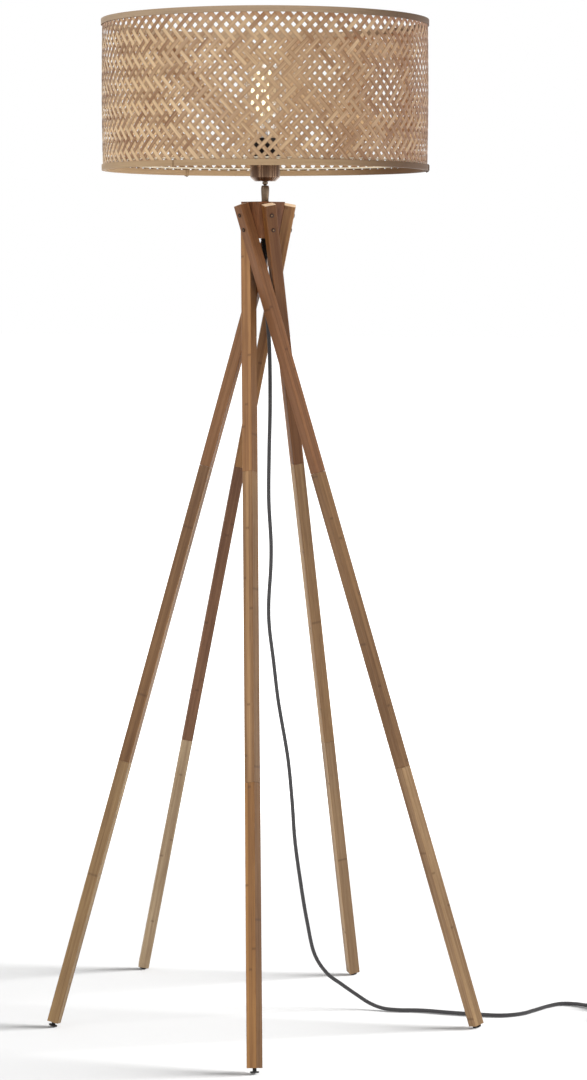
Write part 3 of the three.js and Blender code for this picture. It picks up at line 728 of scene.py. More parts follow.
def smoothRoute(route, step):
    # a centripetal Catmull-Rom curve: between two points it is the cubic of t whose slopes at both ends come
    # from the points before and after, each span counted as the square root of its length
    points = np.asarray(route, float)
    points = np.concatenate([2 * points[:1] - points[1:2], points, 2 * points[-1:] - points[-2:-1]])
    p0, p1, p2, p3 = (points[k : len(points) - 3 + k, None] for k in range(4))
    spans = [np.linalg.norm(b - a, axis=2)[..., None] ** 0.5 for a, b in ((p0, p1), (p1, p2), (p2, p3))]
    d0, d1, d2 = (span.clip(1e-6) for span in spans)
    start = ((p1 - p0) / d0 - (p2 - p0) / (d0 + d1) + (p2 - p1) / d1) * d1
    end = ((p2 - p1) / d1 - (p3 - p1) / (d1 + d2) + (p3 - p2) / d2) * d1
    t = np.linspace(0, 1, 60, endpoint=False)[None, :, None]
    square = 3 * p2 - 3 * p1 - 2 * start - end
    curve = p1 + start * t + square * t**2 + (2 * p1 - 2 * p2 + start + end) * t**3
    return stepped(np.concatenate([curve.reshape(-1, 3), points[-2:-1]]), step)


def eased(share):
    # 0 to 1 with a level start and end: t^2 (3 - 2t)
    return share * share * (3 - 2 * share)


def coilRoute():
    # in along the floor turn by turn, up a layer in the half turn where it reverses, and out again on top:
    # the radius is the outer one less the pitch times the turns to the nearer end
    size = named(coilSizes)
    loop = np.linspace(0, size.loops, size.loops * size.loopSteps + 1)
    radius = size.outer - size.pitch * np.minimum(loop, size.loops - loop)
    climb = eased(np.clip((loop - size.loops / 2 + 0.25) / 0.5, 0, 1))
    return spun(radius, -loop * tau, cordSizes["floor"] + size.lift * climb) + [size.x, size.y, 0]


def wholeCord():
    # the routes one after another, straight through the switch, as one evenly stepped path
    step = cordSizes["step"]
    coil = coilRoute()
    run = smoothRoute(cordRoute, step)
    through = np.linspace(cordRoute[-1], leadRoute[0], 30)[1:-1]
    lead = smoothRoute([*leadRoute, coil[0]], step)[:-1]
    tail = smoothRoute([coil[-1], *tailRoute], step)[1:]
    return onAxis(stepped(np.concatenate([run, through, lead, coil, tail]), step))


braidLook = dict(yarns=8, turnLength=0.0085, fluff=2600, dark=(43, 42, 44), light=(88, 86, 87), depth=0.0003)


def braidMaterial():
    # a braided sleeve: two sets of yarns wind round the cord and pass over and under each other, as the
    # product of sin(along + turns) and sin(along - turns), with fluff on it
    look = named(braidLook)
    material, tree, shader = newMaterial("braidedTextile")
    u, v, _ = partsOf(tree, surfacePlace(tree))
    turns = times(tree, v, look.yarns)
    along = times(tree, u, look.yarns / look.turnLength)
    first = calc(tree, "SINE", times(tree, plus(tree, along, turns), tau))
    second = calc(tree, "SINE", times(tree, minus(tree, along, turns), tau))
    fluff = noiseOf(tree, objectPlace(tree), look.fluff, 3, 0.6)
    height = plus(tree, times(tree, times(tree, first, second), 0.5), fluff)
    colour = blended(tree, remap(tree, height, 0.0, 1.1), linear(*look.dark), linear(*look.light))
    feed(
        tree, shader, Base_Color=colour, Roughness=0.85, Sheen_Weight=0.25, Sheen_Roughness=0.5,
        Normal=bumped(tree, height, 0.5, look.depth),
    )
    return material


def makeCord():
    # the path with a round section, whose reference turns from the front to upwards where the cord reaches
    # the floor
    size = named(cordSizes)
    path = wholeCord()
    run = np.linspace(0, 1, len(path))
    share = np.clip((run - size.fallEnd) / (size.floorStart - size.fallEnd), 0, 1)[:, None]
    reference = np.array([0, 1, 0]) * (1 - share) + np.array([0, 0, 1]) * share
    part = tubeAlong(path, size.diameter / 2, size.sides, reference)
    stands = ["cord_run", "cord_coil"]
    cord = addPiece("mainsCord", part, inPlace, [braidMaterial()], "stand", stands, sharp=60)
    length = runOf(path)[-1]
    print("cord length", round(float(length), 4))
    return cord, path, length


def ribbed(heights, low, high, lowRadius, highRadius, depth, cut):
    # a straight taper from one radius at low to the other at high, less depth where cut says so
    taper = lowRadius + (highRadius - lowRadius) * (heights - low) / (high - low)
    return np.column_stack([taper - depth * cut, heights])


def everyThird(count):
    # true for the second of each three
    return np.arange(count) % 3 == 1


switchSizes = dict(
    x=0.553, y=0.040, length=0.054, width=0.036, height=0.019, corner=0.007, collar=0.0025, gland=0.008,
    glandHeight=0.007, glandRadius=0.0055, glandTip=0.0040, glandRoot=0.002, ringsStart=0.001,
    ringsEnd=0.0008, ringSteps=15, ringDepth=0.0007, collarCorner=0.002,
)
# Height and inset of the housing's lower edge with its parting line, and of its top edge and collar, from the
# top.
switchFoot = [
    (0, 0.0012), (0.0004, 0.0004), (0.0014, 0), (0.0068, 0), (0.0071, 0.0004), (0.0074, 0.0004), (0.0077, 0),
]
switchTop = [(-0.004, 0), (-0.0016, 0.0006), (-0.0004, 0.0019), (0, 0.0036)]
switchCollar = [(-0.001, 0), (0.0006, 0), (0.0011, 0.0005), (0.0011, 0.0018), (-0.0005, 0.0022)]


def raised(levels, height):
    # (height, inset) or (radius, height) pairs are kept as they are, but for heights that count from another
    # one
    return [(height + level, inset) for level, inset in levels]


def makeSwitch():
    # a low housing with a soft top edge, a parting line, a well for the pedal and a ribbed gland at each end
    size = named(switchSizes)
    body = lofted(size.length, size.width, size.corner, [*switchFoot, *raised(switchTop, size.height)])
    pedal = named(pedalSizes)
    collar = lofted(
        pedal.length + 2 * size.collar, pedal.width + 2 * size.collar, pedal.corner + size.collarCorner,
        raised(switchCollar, size.height),
    )
    reach = size.length / 2
    end = reach + size.gland
    heights = np.linspace(reach + size.ringsStart, end - size.ringsEnd, size.ringSteps)
    cut = everyThird(size.ringSteps)
    profile = np.concatenate([
        [(0, reach - size.glandRoot), (size.glandRadius, reach - size.glandRoot)],
        ribbed(heights, reach, end, size.glandRadius, size.glandTip, size.ringDepth, cut),
        [(size.glandTip, end), (0, end)],
    ])
    gland = revolved(profile, 40)
    glands = [moved(gland, (0, 0, size.glandHeight), turnTo((sign, 0, 0))) for sign in (-1, 1)]
    part = moved(joined(body, collar, *glands), (size.x + reach, size.y, 0))
    skins = [finishes["greyPlastic"]]
    addPiece("switchHousing", part, onAxis, skins, "stand", ["foot_switch_body"])


pedalSizes = dict(
    length=0.030, width=0.023, height=0.0095, corner=0.004, stand=0.004, ridges=6, ridgeWidth=0.0016,
    ridgeReach=0.0095, ridgeShort=0.008, ridgeCorner=0.0007,
)
# Height and inset of the pedal's edges, from its bottom and from its top, and of a ridge, from the top.
pedalFoot = [(0, 0.0004), (0.0005, 0)]
pedalTop = [(-0.0022, 0), (-0.001, 0.0004), (-0.0003, 0.0013), (-0.0003, 0.003)]
pedalRidge = [(-0.0008, 0), (-0.0002, 0), (0, 0.0003)]


def makePedal():
    # a pad with soft edges that stands out of the housing, with a row of ridges along it
    size = named(pedalSizes)
    base = switchSizes["height"] + size.stand - size.height
    top = base + size.height
    pad = lofted(size.length, size.width, size.corner, [*raised(pedalFoot, base), *raised(pedalTop, top)])
    levels = raised(pedalRidge, top)
    ridge = lofted(size.ridgeWidth, size.width - size.ridgeShort, size.ridgeCorner, levels, 4)
    ridges = [moved(ridge, (x, 0, 0)) for x in np.linspace(-size.ridgeReach, size.ridgeReach, size.ridges)]
    part = moved(joined(pad, *ridges), (switchSizes["x"] + switchSizes["length"] / 2, switchSizes["y"], 0))
    skins = [finishes["blackPlastic"]]
    addPiece("switchPedal", part, onAxis, skins, "pedal", ["foot_switch_pedal"])


plugSizes = dict(
    width=0.035, thickness=0.014, length=0.034, corner=0.0068, edge=0.0006, edgeInset=0.0016, waist=0.0022,
    waistStart=0.0014, waistSteps=15, boot=0.008, bootTip=0.0041, bootRoot=0.0054, bootSunk=0.002,
    ringsStart=0.0006, ringsEnd=0.0004, ringSteps=13, ringDepth=0.0006, pin=0.002, pinLength=0.019,
    pinStep=0.0001, pinRound=0.0015, pinTip=0.0004, sleeve=0.0102, sleeveShare=0.9, sunk=0.001, apart=0.019,
    lift=0.0003,
)


def makePlug():
    # a flat two-pin plug: a grip drawn in by waist sin^2 along it, a ribbed boot, and sleeved pins with round
    # tips
    size = named(plugSizes)
    length, pin = size.length, size.pin
    rise = np.linspace(0, 1, size.waistSteps)
    heights = size.waistStart + rise * (length - 2 * size.waistStart)
    waist = zip(heights, size.waist * np.sin(rise * pi) ** 2)
    low = [(0, size.edgeInset), (size.edge, size.edge)]
    high = [(length - size.edge, size.edge), (length, size.edgeInset)]
    levels = [*low, *waist, *high]
    body = lofted(size.width, size.thickness, size.corner, levels, 10)
    heights = np.linspace(size.ringsStart - size.boot, -size.ringsEnd, size.ringSteps)
    cut = everyThird(size.ringSteps)
    boot = revolved(np.concatenate([
        [(0, -size.boot), (size.bootTip - size.pinStep, -size.boot)],
        ribbed(heights, -size.boot, 0, size.bootTip, size.bootRoot, size.ringDepth, cut),
        [(size.bootRoot + size.pinStep, size.bootSunk), (0, size.bootSunk)],
    ]), 40)
    root, sleeved, tip = length - size.sunk, length + size.sleeve, length + size.pinLength
    thin = pin - size.pinStep
    pinProfile = [
        (0, root), (thin, root), (thin, sleeved + 3 * size.pinStep), (pin, sleeved + 4 * size.pinStep),
        (pin, tip - size.pinRound), (0.7 * pin, tip - size.pinTip), (0.3 * pin, tip), (0, tip),
    ]
    sleeveProfile = boxProfile(size.sleeveShare * pin, pin, root, sleeved)
    spots = [(sign * size.apart / 2, 0, 0) for sign in (-1, 1)]
    pins = [moved(revolved(pinProfile, 24), spot) for spot in spots]
    sleeves = [moved(revolved(sleeveProfile, 24, closed=True), spot) for spot in spots]
    part = joined(body, boot, *sleeves, *pins)
    pinFaces = sum(len(each[1]) for each in pins)
    pick = np.concatenate([np.zeros(len(part[1]) - pinFaces), np.ones(pinFaces)])
    coil = named(coilSizes)
    beside = (coil.x + coil.outer, coil.y - coil.outer, size.thickness / 2 + size.lift)
    part = moved(part, beside, np.array(Matrix.Rotation(pi / 2, 3, "X")))
    skins = [finishes["greyPlastic"], finishes["platedPin"]]
    return addPiece("plugBody", part, onAxis, skins, "stand", ["plug"], pick=pick)


makeSwitch()
makePedal()
plugPiece = makePlug()
cordPiece, cordPath, cordLength = makeCord()
print("cord, switch and plug made")


# The weave's size and lie, in metres, radians where it tilts, and shares of the pitch where it shifts.
weaveSizes = dict(
    strips=96, radius=0.24930, bulge=0.0013, rise=0.0087240, width=0.0063, widthSpread=0.06, widthWander=0.05,
    thickness=0.0003, crown=0.00006, over=0.00032, sharpness=1.55, stray=0.00005, low=1.3287, high=1.5543,
    middle=1.44, stations=54, wander=0.0003, wanderRates=(24.0, 57.0, 121.0), stripStep=0.013,
    roundShift=0.41974, rowShift=-0.30380, riseSwing=-0.00283, tilt=(0.14959, 0.00687), bunch=(0.01655, 0.0),
    twist=-0.44488, twistFrom=1.55, twistOver=0.23, twillStart=2, lengthShare=1.36, tries=4,
)
# A strip's section: where each point lies across it, and how far out as a share of its thickness and of its
# crown.
stripSection = dict(
    across=(-0.5, -0.44, -0.16, 0.16, 0.44, 0.5, 0.44, -0.44),
    thick=(0.0, 0.36, 0.5, 0.5, 0.36, 0.0, -0.5, -0.5),
    crown=(0, 0.3, 1, 1, 0.3, 0, 0, 0),
)
# The strips' colours carry painted light and shade: by side the tones light one family of strips and shade the
# other, the right side is shaded, the edge colour paints shade along each strip's edges and the top colour paints
# a shadow under the top rim.
weaveLook = dict(
    tone=0.56, toneSpread=0.045, toneDrift=0.05, driftRates=(40, 130), leftTone=0.42, rightTone=0.16,
    rightShade=0.42, light=(216, 184, 143), dark=(124, 82, 47), edge=(96, 66, 40), edgeFrom=0.62,
    edgeShare=0.56, top=(142, 88, 50), topFrom=1.535, topTo=1.5475, topShare=0.45,
)


def stripAngle(index, height, lean):
    # the angle of strip number index at a height: a straight line on the unrolled wall, leaning one way or
    # the other, whose rows swing a little closer and wider round the shade; the whole weave is wrung a little
    size = named(weaveSizes)
    start = index + 0.5 - size.roundShift
    angle = start * tau / size.strips
    for _ in range(size.tries):
        s, c = np.sin(angle), np.cos(angle)
        rise = size.rise * (1 + size.riseSwing * c)
        climb = (height - size.middle) / (2 * rise) + size.rowShift + size.tilt[0] * c + size.tilt[1] * s
        twist = size.twist * (height - size.twistFrom) / size.twistOver
        angle = (start - twist + lean * climb - size.bunch[0] * s - size.bunch[1] * c) * tau / size.strips
    return angle, 2 * climb


def stripToneAndPaintedLight(angle, height, lean, phase):
    # a strip's tone: its own by chance, two waves along it, painted light that makes one family of strips
    # lighter and the other darker on either side of the shade, and painted shade on the right side
    look = named(weaveLook)
    own = chance.normal(0, 1, (len(angle), 1)).clip(-2, 2) * look.toneSpread
    slow, fast = look.driftRates
    drift = np.sin(height * slow + phase[:, 0] * 3) + np.sin(height * fast + phase[:, 1] * 5)
    side = np.sin(angle)
    # painted light and shade: on each side one family of strips is lighter and the other darker, and the right
    # side is darker
    paintedSideLight = np.where(side < 0, look.leftTone, look.rightTone) * lean * side
    return look.tone + own + drift * look.toneDrift + paintedSideLight - look.rightShade * np.maximum(side, 0)


def makeStrips(lean):
    # each strip's section has a crowned outer side and a flat inner one; it runs between the rims and is
    # outside for two crossings, then inside for two, by a clipped cosine, so the floats make rows of zigzags
    size = named(weaveSizes)
    index = np.arange(size.strips)[:, None]
    height = np.tile(np.linspace(size.low, size.high, size.stations), (size.strips, 1))
    angle, row = stripAngle(index, height, lean)
    phase = chance.uniform(0, tau, (size.strips, 3, 1))
    swing = sum(np.sin(height * rate + phase[:, k]) for k, rate in enumerate(size.wanderRates)) / 3
    angle = angle + size.wander * swing / size.radius
    weave = np.clip(size.sharpness * np.cos(pi / 2 * (row - 0.5 - size.twillStart)), -1, 1) * lean
    own = np.clip(chance.normal(0, 1, (size.strips, 1)), -2, 2)
    between = (height - size.low) / (size.high - size.low)
    radius = size.radius + size.bulge * np.sin(pi * between) + size.over * weave + size.stray * own
    width = size.width * (1 + size.widthSpread * own) * (1 + size.widthWander * swing)
    centre = np.stack([angle * size.radius, height], -1)
    along = unit(np.gradient(centre, axis=1))
    square = np.stack([along[..., 1], -along[..., 0]], -1)
    across, thick, crown = (np.array(stripSection[key], float) for key in ("across", "thick", "crown"))
    flat = centre[:, :, None] + square[:, :, None] * (across * width[..., None])[..., None]
    deep = radius[..., None] + (thick * size.thickness + crown * size.crown)
    points = around(deep, flat[..., 0] / size.radius, flat[..., 1])
    points = np.concatenate([points, points[:, :, :1]], 2)
    run = (height - size.low) * size.lengthShare + chance.uniform(0, 9, (size.strips, 1))
    v = np.append(across, across[0]) * size.width + index[..., None] * size.stripStep
    uv = np.stack(np.broadcast_arrays(run[..., None], v), -1)
    sides = len(across)
    step = size.stations * (sides + 1)
    starts = np.arange(size.strips)[:, None] * step
    faces = (gridFaces(size.stations, sides + 1)[None] + starts[..., None]).reshape(-1, 4)
    first = np.arange(sides)[None] + starts
    ends = [*first[:, ::-1], *(first + step - sides - 1)]
    tone = np.broadcast_to(stripToneAndPaintedLight(angle, height, lean, phase)[..., None], points.shape[:3])
    return points.reshape(-1, 3), [*faces, *ends], uv.reshape(-1, 2), tone.ravel()


def stripMaterial():
    # split bamboo: fibres along the strip, each strip its own tan or brown with the painted side light and
    # shade that its tone carries, painted shade along its edges and a painted shadow under the top rim
    look = named(weaveLook)
    material, tree, shader = newMaterial("splitBamboo")
    u, v, _ = partsOf(tree, surfacePlace(tree))
    fibre = useGroup(
        tree, fibreGroup, Vector=vectorOf(tree, times(tree, v, 2.0), 0.0, u),
        Tone=place(tree, "Attribute", attribute_name="tone").outputs["Fac"],
        Light=linear(*look.light), Dark=linear(*look.dark), Contrast=1.3,
    )
    across = plus(tree, calc(tree, "DIVIDE", v, weaveSizes["stripStep"]), 0.5)
    off = apart(tree, calc(tree, "FRACT", across), 0.5)
    half = weaveSizes["width"] / weaveSizes["stripStep"] / 2
    # painted shade along each strip's edges, where the strips meet
    edge = remap(tree, off, half * look.edgeFrom, half, 0.0, look.edgeShare)
    colour = blended(tree, edge, fibre["Color"], linear(*look.edge))
    # a painted shadow under the top rim, darker up towards it
    top = remap(tree, partsOf(tree, objectPlace(tree))[2], look.topFrom, look.topTo, 0.0, look.topShare)
    feed(
        tree, shader, Base_Color=blended(tree, top, colour, linear(*look.top)), Roughness=fibre["Roughness"],
        Coat_Weight=0.06, Coat_Roughness=0.35, Normal=bumped(tree, fibre["Height"], 0.25, 0.0003),
    )
    return material


rimSizes = dict(
    bottom=1.3263, top=1.5567, height=0.0095, outer=0.252, inner=0.2461, band=0.0014, fold=0.002, soft=0.0005,
    lap=0.14, lapRise=0.0003, wave=0.0002, waves=3, steps=240, seamAngle=dict(bottom=-32.5, top=51.0),
    inset=0.0003, innerInset=0.0004, innerTurn=0.5, coreTurn=2.1, coreShare=0.8,
)
nailSizes = dict(
    count=12, start=0.11, atSeam=(-0.03, 0.012), sunk=0.0005, radius=0.00075, root=0.001, edge=0.00012,
    crown=0.0003, soft=0.0002,
)
rimColours = dict(bottom=(172, 146, 114), top=(168, 146, 121))
# Shares of a rim's colour for its light and dark fibres, its seam line and the painted shade on its right side.
rimTints = dict(
    light=(1.1, 1.1, 1.1), dark=(0.84, 0.8, 0.76), seam=(0.55, 0.46, 0.38), right=(0.5, 0.42, 0.36),
)
# The start, end and share set the painted shade that darkens the rims towards the right.
rimShade = dict(start=0.05, end=0.205, share=0.95, seamWide=0.0024, seamThin=0.0008, seamShare=0.55)


def rimMaterial(level):
    # split cane: fibres along the band, a dark line where its end laps, and painted shade that darkens it
    # to the right, as x grows
    shade = named(rimShade)
    colour = rimColours[level]
    light, dark, line, right = (tinted(colour, shares) for shares in rimTints.values())
    material, tree, shader = newMaterial(f"{level}RimBamboo")
    u, v, _ = partsOf(tree, surfacePlace(tree))
    vector = vectorOf(tree, v, 0.3, u)
    cloud = noiseOf(tree, scaled(tree, vector, (30, 30, 5)), 1, 2, 0.5)
    tone = remap(tree, cloud, 0.25, 0.75, 0.35, 0.7)
    fibre = useGroup(tree, fibreGroup, Vector=vector, Tone=tone, Light=light, Dark=dark, Contrast=0.7)
    seam = radians(rimSizes["seamAngle"][level]) % tau * rimSizes["outer"]
    onSeam = remap(tree, apart(tree, u, seam), shade.seamWide, shade.seamThin, 0.0, shade.seamShare)
    colour = blended(tree, onSeam, fibre["Color"], line)
    # painted shade: the rim darkens towards the right as x grows
    paintedShadeToRight = remap(tree, partsOf(tree, objectPlace(tree))[0], shade.start, shade.end, 0.0, shade.share)
    feed(
        tree, shader, Base_Color=blended(tree, paintedShadeToRight, colour, right), Roughness=fibre["Roughness"],
        Specular_IOR_Level=0.15, Coat_Weight=0.02, Coat_Roughness=0.3,
        Normal=bumped(tree, fibre["Height"], 0.15, 0.0003),
    )
    return material


def bandRing(inside, outside, low, high, seam):
    # a bent band whose ends overlap: its radius steps out by the lap's thickness at the seam and eases back,
    # its edges are soft and its height waves a little
    size = named(rimSizes)
    angle = np.linspace(0, tau, size.steps + 1)[:, None]
    away = (angle - seam + pi) % tau - pi
    bulge = size.lapRise * np.clip(1 + away / size.lap, 0, 1) * (away < 0)
    outline = softened(boxProfile(inside, outside, low, high), size.soft)
    outline = np.concatenate([outline, outline[:1]])
    out = (outline[:, 0] > (inside + outside) / 2)[None]
    radius = outline[None, :, 0] + np.where(out, bulge - size.lapRise, 0)
    height = outline[None, :, 1] + size.wave * np.sin(angle * size.waves + seam)
    uv = np.stack(np.broadcast_arrays(angle * outside, runOf(outline)[None]), -1)
    return around(radius, angle, height).reshape(-1, 3), list(gridFaces(*uv.shape[:2])), uv.reshape(-1, 2)


tieSizes = dict(
    angles=(-149.5, 88.5), turns=3, turnSteps=28, pitch=0.0015, radius=0.00075, bedded=0.7, knot=0.0012,
)


def tieRound(angle, low, high):
    # a cane wound round the rim's section, a rounded oblong whose corners are square roots of sine and
    # cosine, and the round end of the wire that it holds, under the rim
    size, rim = named(tieSizes), named(rimSizes)
    angle = radians(angle)
    turn = np.linspace(0, size.turns * tau, size.turns * size.turnSteps + 1)
    c, s = np.cos(turn), np.sin(turn)
    middle = (rim.outer + rim.inner) / 2
    reach = middle + ((rim.outer - rim.inner) / 2 + size.radius * size.bedded) * np.sign(c) * np.abs(c) ** 0.5
    height = (low + high) / 2 + ((high - low) / 2 + size.radius * size.bedded) * np.sign(s) * np.abs(s) ** 0.5
    bearing = angle + size.pitch * (turn / tau - size.turns / 2) / middle
    loops = tubeAlong(around(reach, bearing, height), size.radius, 8, (cos(angle), sin(angle), 0))
    arc = np.linspace(pi, 0, 9)
    profile = size.knot * np.column_stack([np.sin(arc), np.cos(arc)])
    profile[[0, -1], 0] = 0
    knot = revolved(profile, 14)
    return loops, moved(knot, around(middle, angle, low - size.knot))


def makeRim(level):
    # an outer and an inner band with the weave's ends between them, a thin strip closing the edge, and nails
    size = named(rimSizes)
    low = size.bottom if level == "bottom" else size.top - size.height
    high = low + size.height
    seam = radians(size.seamAngle[level]) % tau
    inset, depth = size.innerInset, size.band * size.coreShare
    turned, coreTurned = (seam + size.innerTurn) % tau, (seam + size.coreTurn) % tau
    outer = bandRing(size.outer - size.band, size.outer, low + size.inset, high - size.inset, seam)
    inner = bandRing(size.inner, size.inner + size.band, low + inset, high - inset, turned)
    edge = low + size.inset if level == "bottom" else high - size.fold - size.inset
    top = edge + size.fold - inset
    core = bandRing(size.inner + depth, size.outer - depth, edge + inset, top, coreTurned)
    nail = named(nailSizes)
    head = [(0, -nail.root), (nail.radius, -nail.root), (nail.radius, nail.edge), (0, nail.crown)]
    head = revolved(softened(head, nail.soft, closed=False), 12)
    evenAngles = np.arange(nail.count) / nail.count * tau + nail.start
    nails = []
    for angle in [*evenAngles, *(seam + np.array(nail.atSeam))]:
        spot = around(size.outer - nail.sunk, angle, (low + high) / 2)
        nails.append(moved(head, spot, turnTo(around(1, angle, 0))))
    ties = [tieRound(angle, low, high) for angle in tieSizes["angles"]] if level == "bottom" else []
    groups = [[outer, inner, core, *(loops for loops, knot in ties)], nails, [knot for loops, knot in ties]]
    part = joined(*(each for group in groups for each in group))
    counts = [sum(len(each[1]) for each in group) for group in groups]
    skins = [rimMaterial(level), finishes["brassNail"], finishes["blackSteel"]]
    addPiece(
        f"{level}Rim", part, onHead, skins, "head", [f"shade_{level}_rim"], sharp=50,
        pick=np.repeat(range(len(groups)), counts),
    )


def makeShade():
    # the strips that rise to the right and those that fall, in one piece, and the two rims
    rising, falling = makeStrips(1), makeStrips(-1)
    points = np.concatenate([rising[0], falling[0]])
    faces = [*rising[1], *(face + len(rising[0]) for face in falling[1])]
    uv = np.concatenate([rising[2], falling[2] + [0, 400 * weaveSizes["stripStep"]]])
    addPiece(
        "shadeWeave", (points, faces, uv), onHead, [stripMaterial()], "head", ["shade_weave"],
        sharp=40, tone=np.concatenate([rising[3], falling[3]]),
    )
    print("shade woven from", 2 * weaveSizes["strips"], "strips")
    makeRim("bottom")
    makeRim("top")


spiderSizes = dict(
    ringInner=0.0191, ringOuter=0.0243, ringLow=1.3451, ringHigh=1.3471, soft=0.0004, wire=0.0012,
    hoop=0.2463, hoopHeight=1.3382, spokeStart=0.0233, spokeShare=0.97, weld=0.35, weldReach=0.0025,
    azimuths=(0, 120, 240),
)


def makeSpider():
    # a flat washer under the clamp ring and three spokes that drop to a wire hoop and swell by a bell curve
    # where they are welded to it
    size = named(spiderSizes)
    section = boxProfile(size.ringInner, size.ringOuter, size.ringLow, size.ringHigh)
    turn = np.linspace(0, tau, 13)[:-1]
    hoop = np.column_stack([size.hoop + size.wire * np.cos(turn), size.hoopHeight + size.wire * np.sin(turn)])
    t = np.linspace(0, 1, 40)
    reach = size.spokeStart + t * (size.hoop - size.spokeStart)
    drop = (size.ringLow + size.ringHigh) / 2 * (1 - t) + size.hoopHeight * t
    swell = 1 + size.weld * np.exp(-((1 - t) * size.hoop / size.weldReach) ** 2)
    spokes = []
    for azimuth in size.azimuths:
        square = np.cross(around(1, radians(azimuth), 0), (0, 0, 1))
        path = around(reach, radians(azimuth), drop)
        spokes.append(tubeAlong(path, size.wire * swell * size.spokeShare, 14, square))
    washer = revolved(softened(section, size.soft), 72, closed=True)
    part = joined(washer, revolved(hoop, 180, closed=True), *spokes)
    skins = [finishes["creamWire"]]
    addPiece("shadeSpider", part, onHead, skins, "head", ["shade_spider"], sharp=35)


clampSizes = dict(inner=0.0191, outer=0.0230, low=1.3474, high=1.3544, soft=0.0006, ribs=36, ribDepth=0.02)


def makeClamp():
    # a threaded plastic ring with grip ribs round its outside, where its radius is less by a clipped sine
    size = named(clampSizes)
    outline = softened(boxProfile(size.inner, size.outer, size.low, size.high), size.soft)
    ribs = lambda angle: 1 - size.ribDepth * np.clip(np.sin(angle * size.ribs) * 3, 0, 1)
    part = revolved(outline, 288, closed=True, ripple=ribs)
    radius = np.linalg.norm(part[0][:, :2], axis=1)
    part[0][:, :2] *= (np.maximum(radius, size.inner) / radius.clip(1e-9))[:, None]
    skins = [finishes["blackPlastic"]]
    addPiece("shadeClampRing", part, onHead, skins, "head", ["shade_clamp_ring"], sharp=35)


stemSizes = dict(
    tenon=0.0050, bottom=1.2490, tenonTop=1.2791, bead=0.0059, foot=0.0055, waistLow=1.2805, belly=0.0064,
    waistHigh=1.2982, top=0.0047, shoulder=0.0060, mouth=0.0038, mouthHeight=1.3036, bowl=0.0041,
    bevel=0.0004,
)
# The bead from the tenon's top, as (inset from the bead's radius, height).
beadProfile = [(0.0001, 0.0002), (0, 0.0008), (0.0003, 0.0012)]


def makeStem():
    # a turned post: a tenon in the hub, a bead where it lands, a long waist that swells by t^2 (3 - 2t), a
    # shoulder and a bowl that are quarter circles
    size = named(stemSizes)
    rise = np.linspace(0, 1, 12)
    belly = size.foot + (size.belly - size.foot) * eased(rise)
    side = np.column_stack([belly, size.waistLow + rise * (size.waistHigh - size.waistLow)])
    dome = np.linspace(0, pi / 2, 8)[1:]
    shoulder = np.column_stack([
        size.top + (size.belly - size.top) * np.cos(dome), size.waistHigh + size.shoulder * np.sin(dome),
    ])
    cup = np.linspace(0, pi / 2, 9)
    bowl = np.column_stack([size.bowl * np.cos(cup), ballSizes["centre"] - size.bowl * np.sin(cup)])
    profile = np.concatenate([
        [(0, size.bottom), (size.tenon - size.bevel, size.bottom), (size.tenon, size.bottom + size.bevel),
         (size.tenon, size.tenonTop)],
        [(size.bead - inset, size.tenonTop + height) for inset, height in beadProfile],
        side, shoulder,
        [(size.mouth + 0.0002, size.mouthHeight + 0.0006), (size.mouth, size.mouthHeight),
         (size.bowl, size.mouthHeight - 0.0026)],
        bowl,
    ])
    part = revolved(profile, 72)
    addPiece("stemPost", part, onAxis, [finishes["stemBronze"]], "stand", ["stem"])


def threaded(radius, depth, low, step, count, cut=None):
    # a thread as a profile: points one step apart, less the depth on every second one, or where cut says so
    turns = np.arange(count)
    return np.column_stack([radius - depth * (turns % 2 if cut is None else cut), low + turns * step])


ballSizes = dict(
    centre=1.2995, radius=0.0039, start=0.0022, neck=[(0.0023, 1.3036), (0.0024, 1.3050), (0.0030, 1.3057)],
    collar=0.0043, collarLow=1.3061, collarHigh=1.3100, bevel=0.0007, bevelRise=0.0005, thread=0.0025,
    threadDepth=0.00018, threadStep=0.00023, threadSteps=28, top=1.3170,
)


def makeBall():
    # a ball, whose profile is an arc, on a waisted neck that flares to a nut, with the thread that goes up
    # into the cup
    size = named(ballSizes)
    arc = np.linspace(pi, np.arcsin(size.start / size.radius), 20)
    ball = np.column_stack([size.radius * np.sin(arc), size.centre + size.radius * np.cos(arc)])
    ball[0, 0] = 0
    bevel = size.collar - size.bevel
    nut = [
        (bevel, size.collarLow), (size.collar, size.collarLow + size.bevelRise),
        (size.collar, size.collarHigh - 0.0004), (bevel, size.collarHigh), (size.thread, size.collarHigh),
    ]
    low = size.collarHigh + 0.0004
    thread = threaded(size.thread, size.threadDepth, low, size.threadStep, size.threadSteps)
    end = [(size.thread - 0.0003, size.top - 0.0001), (0, size.top)]
    part = revolved(np.concatenate([ball, size.neck, nut, thread, end]), 56)
    addPiece("swivelBall", part, onHead, [finishes["stemBronze"]], "head", ["swivel_ball"])


# The stripes' dark and light colours are painted reflections of the spun metal.
bronzeBrushAndReflectionLook = dict(dark=(66, 46, 34), light=(134, 108, 86), stripes=230, stretch=0.02)


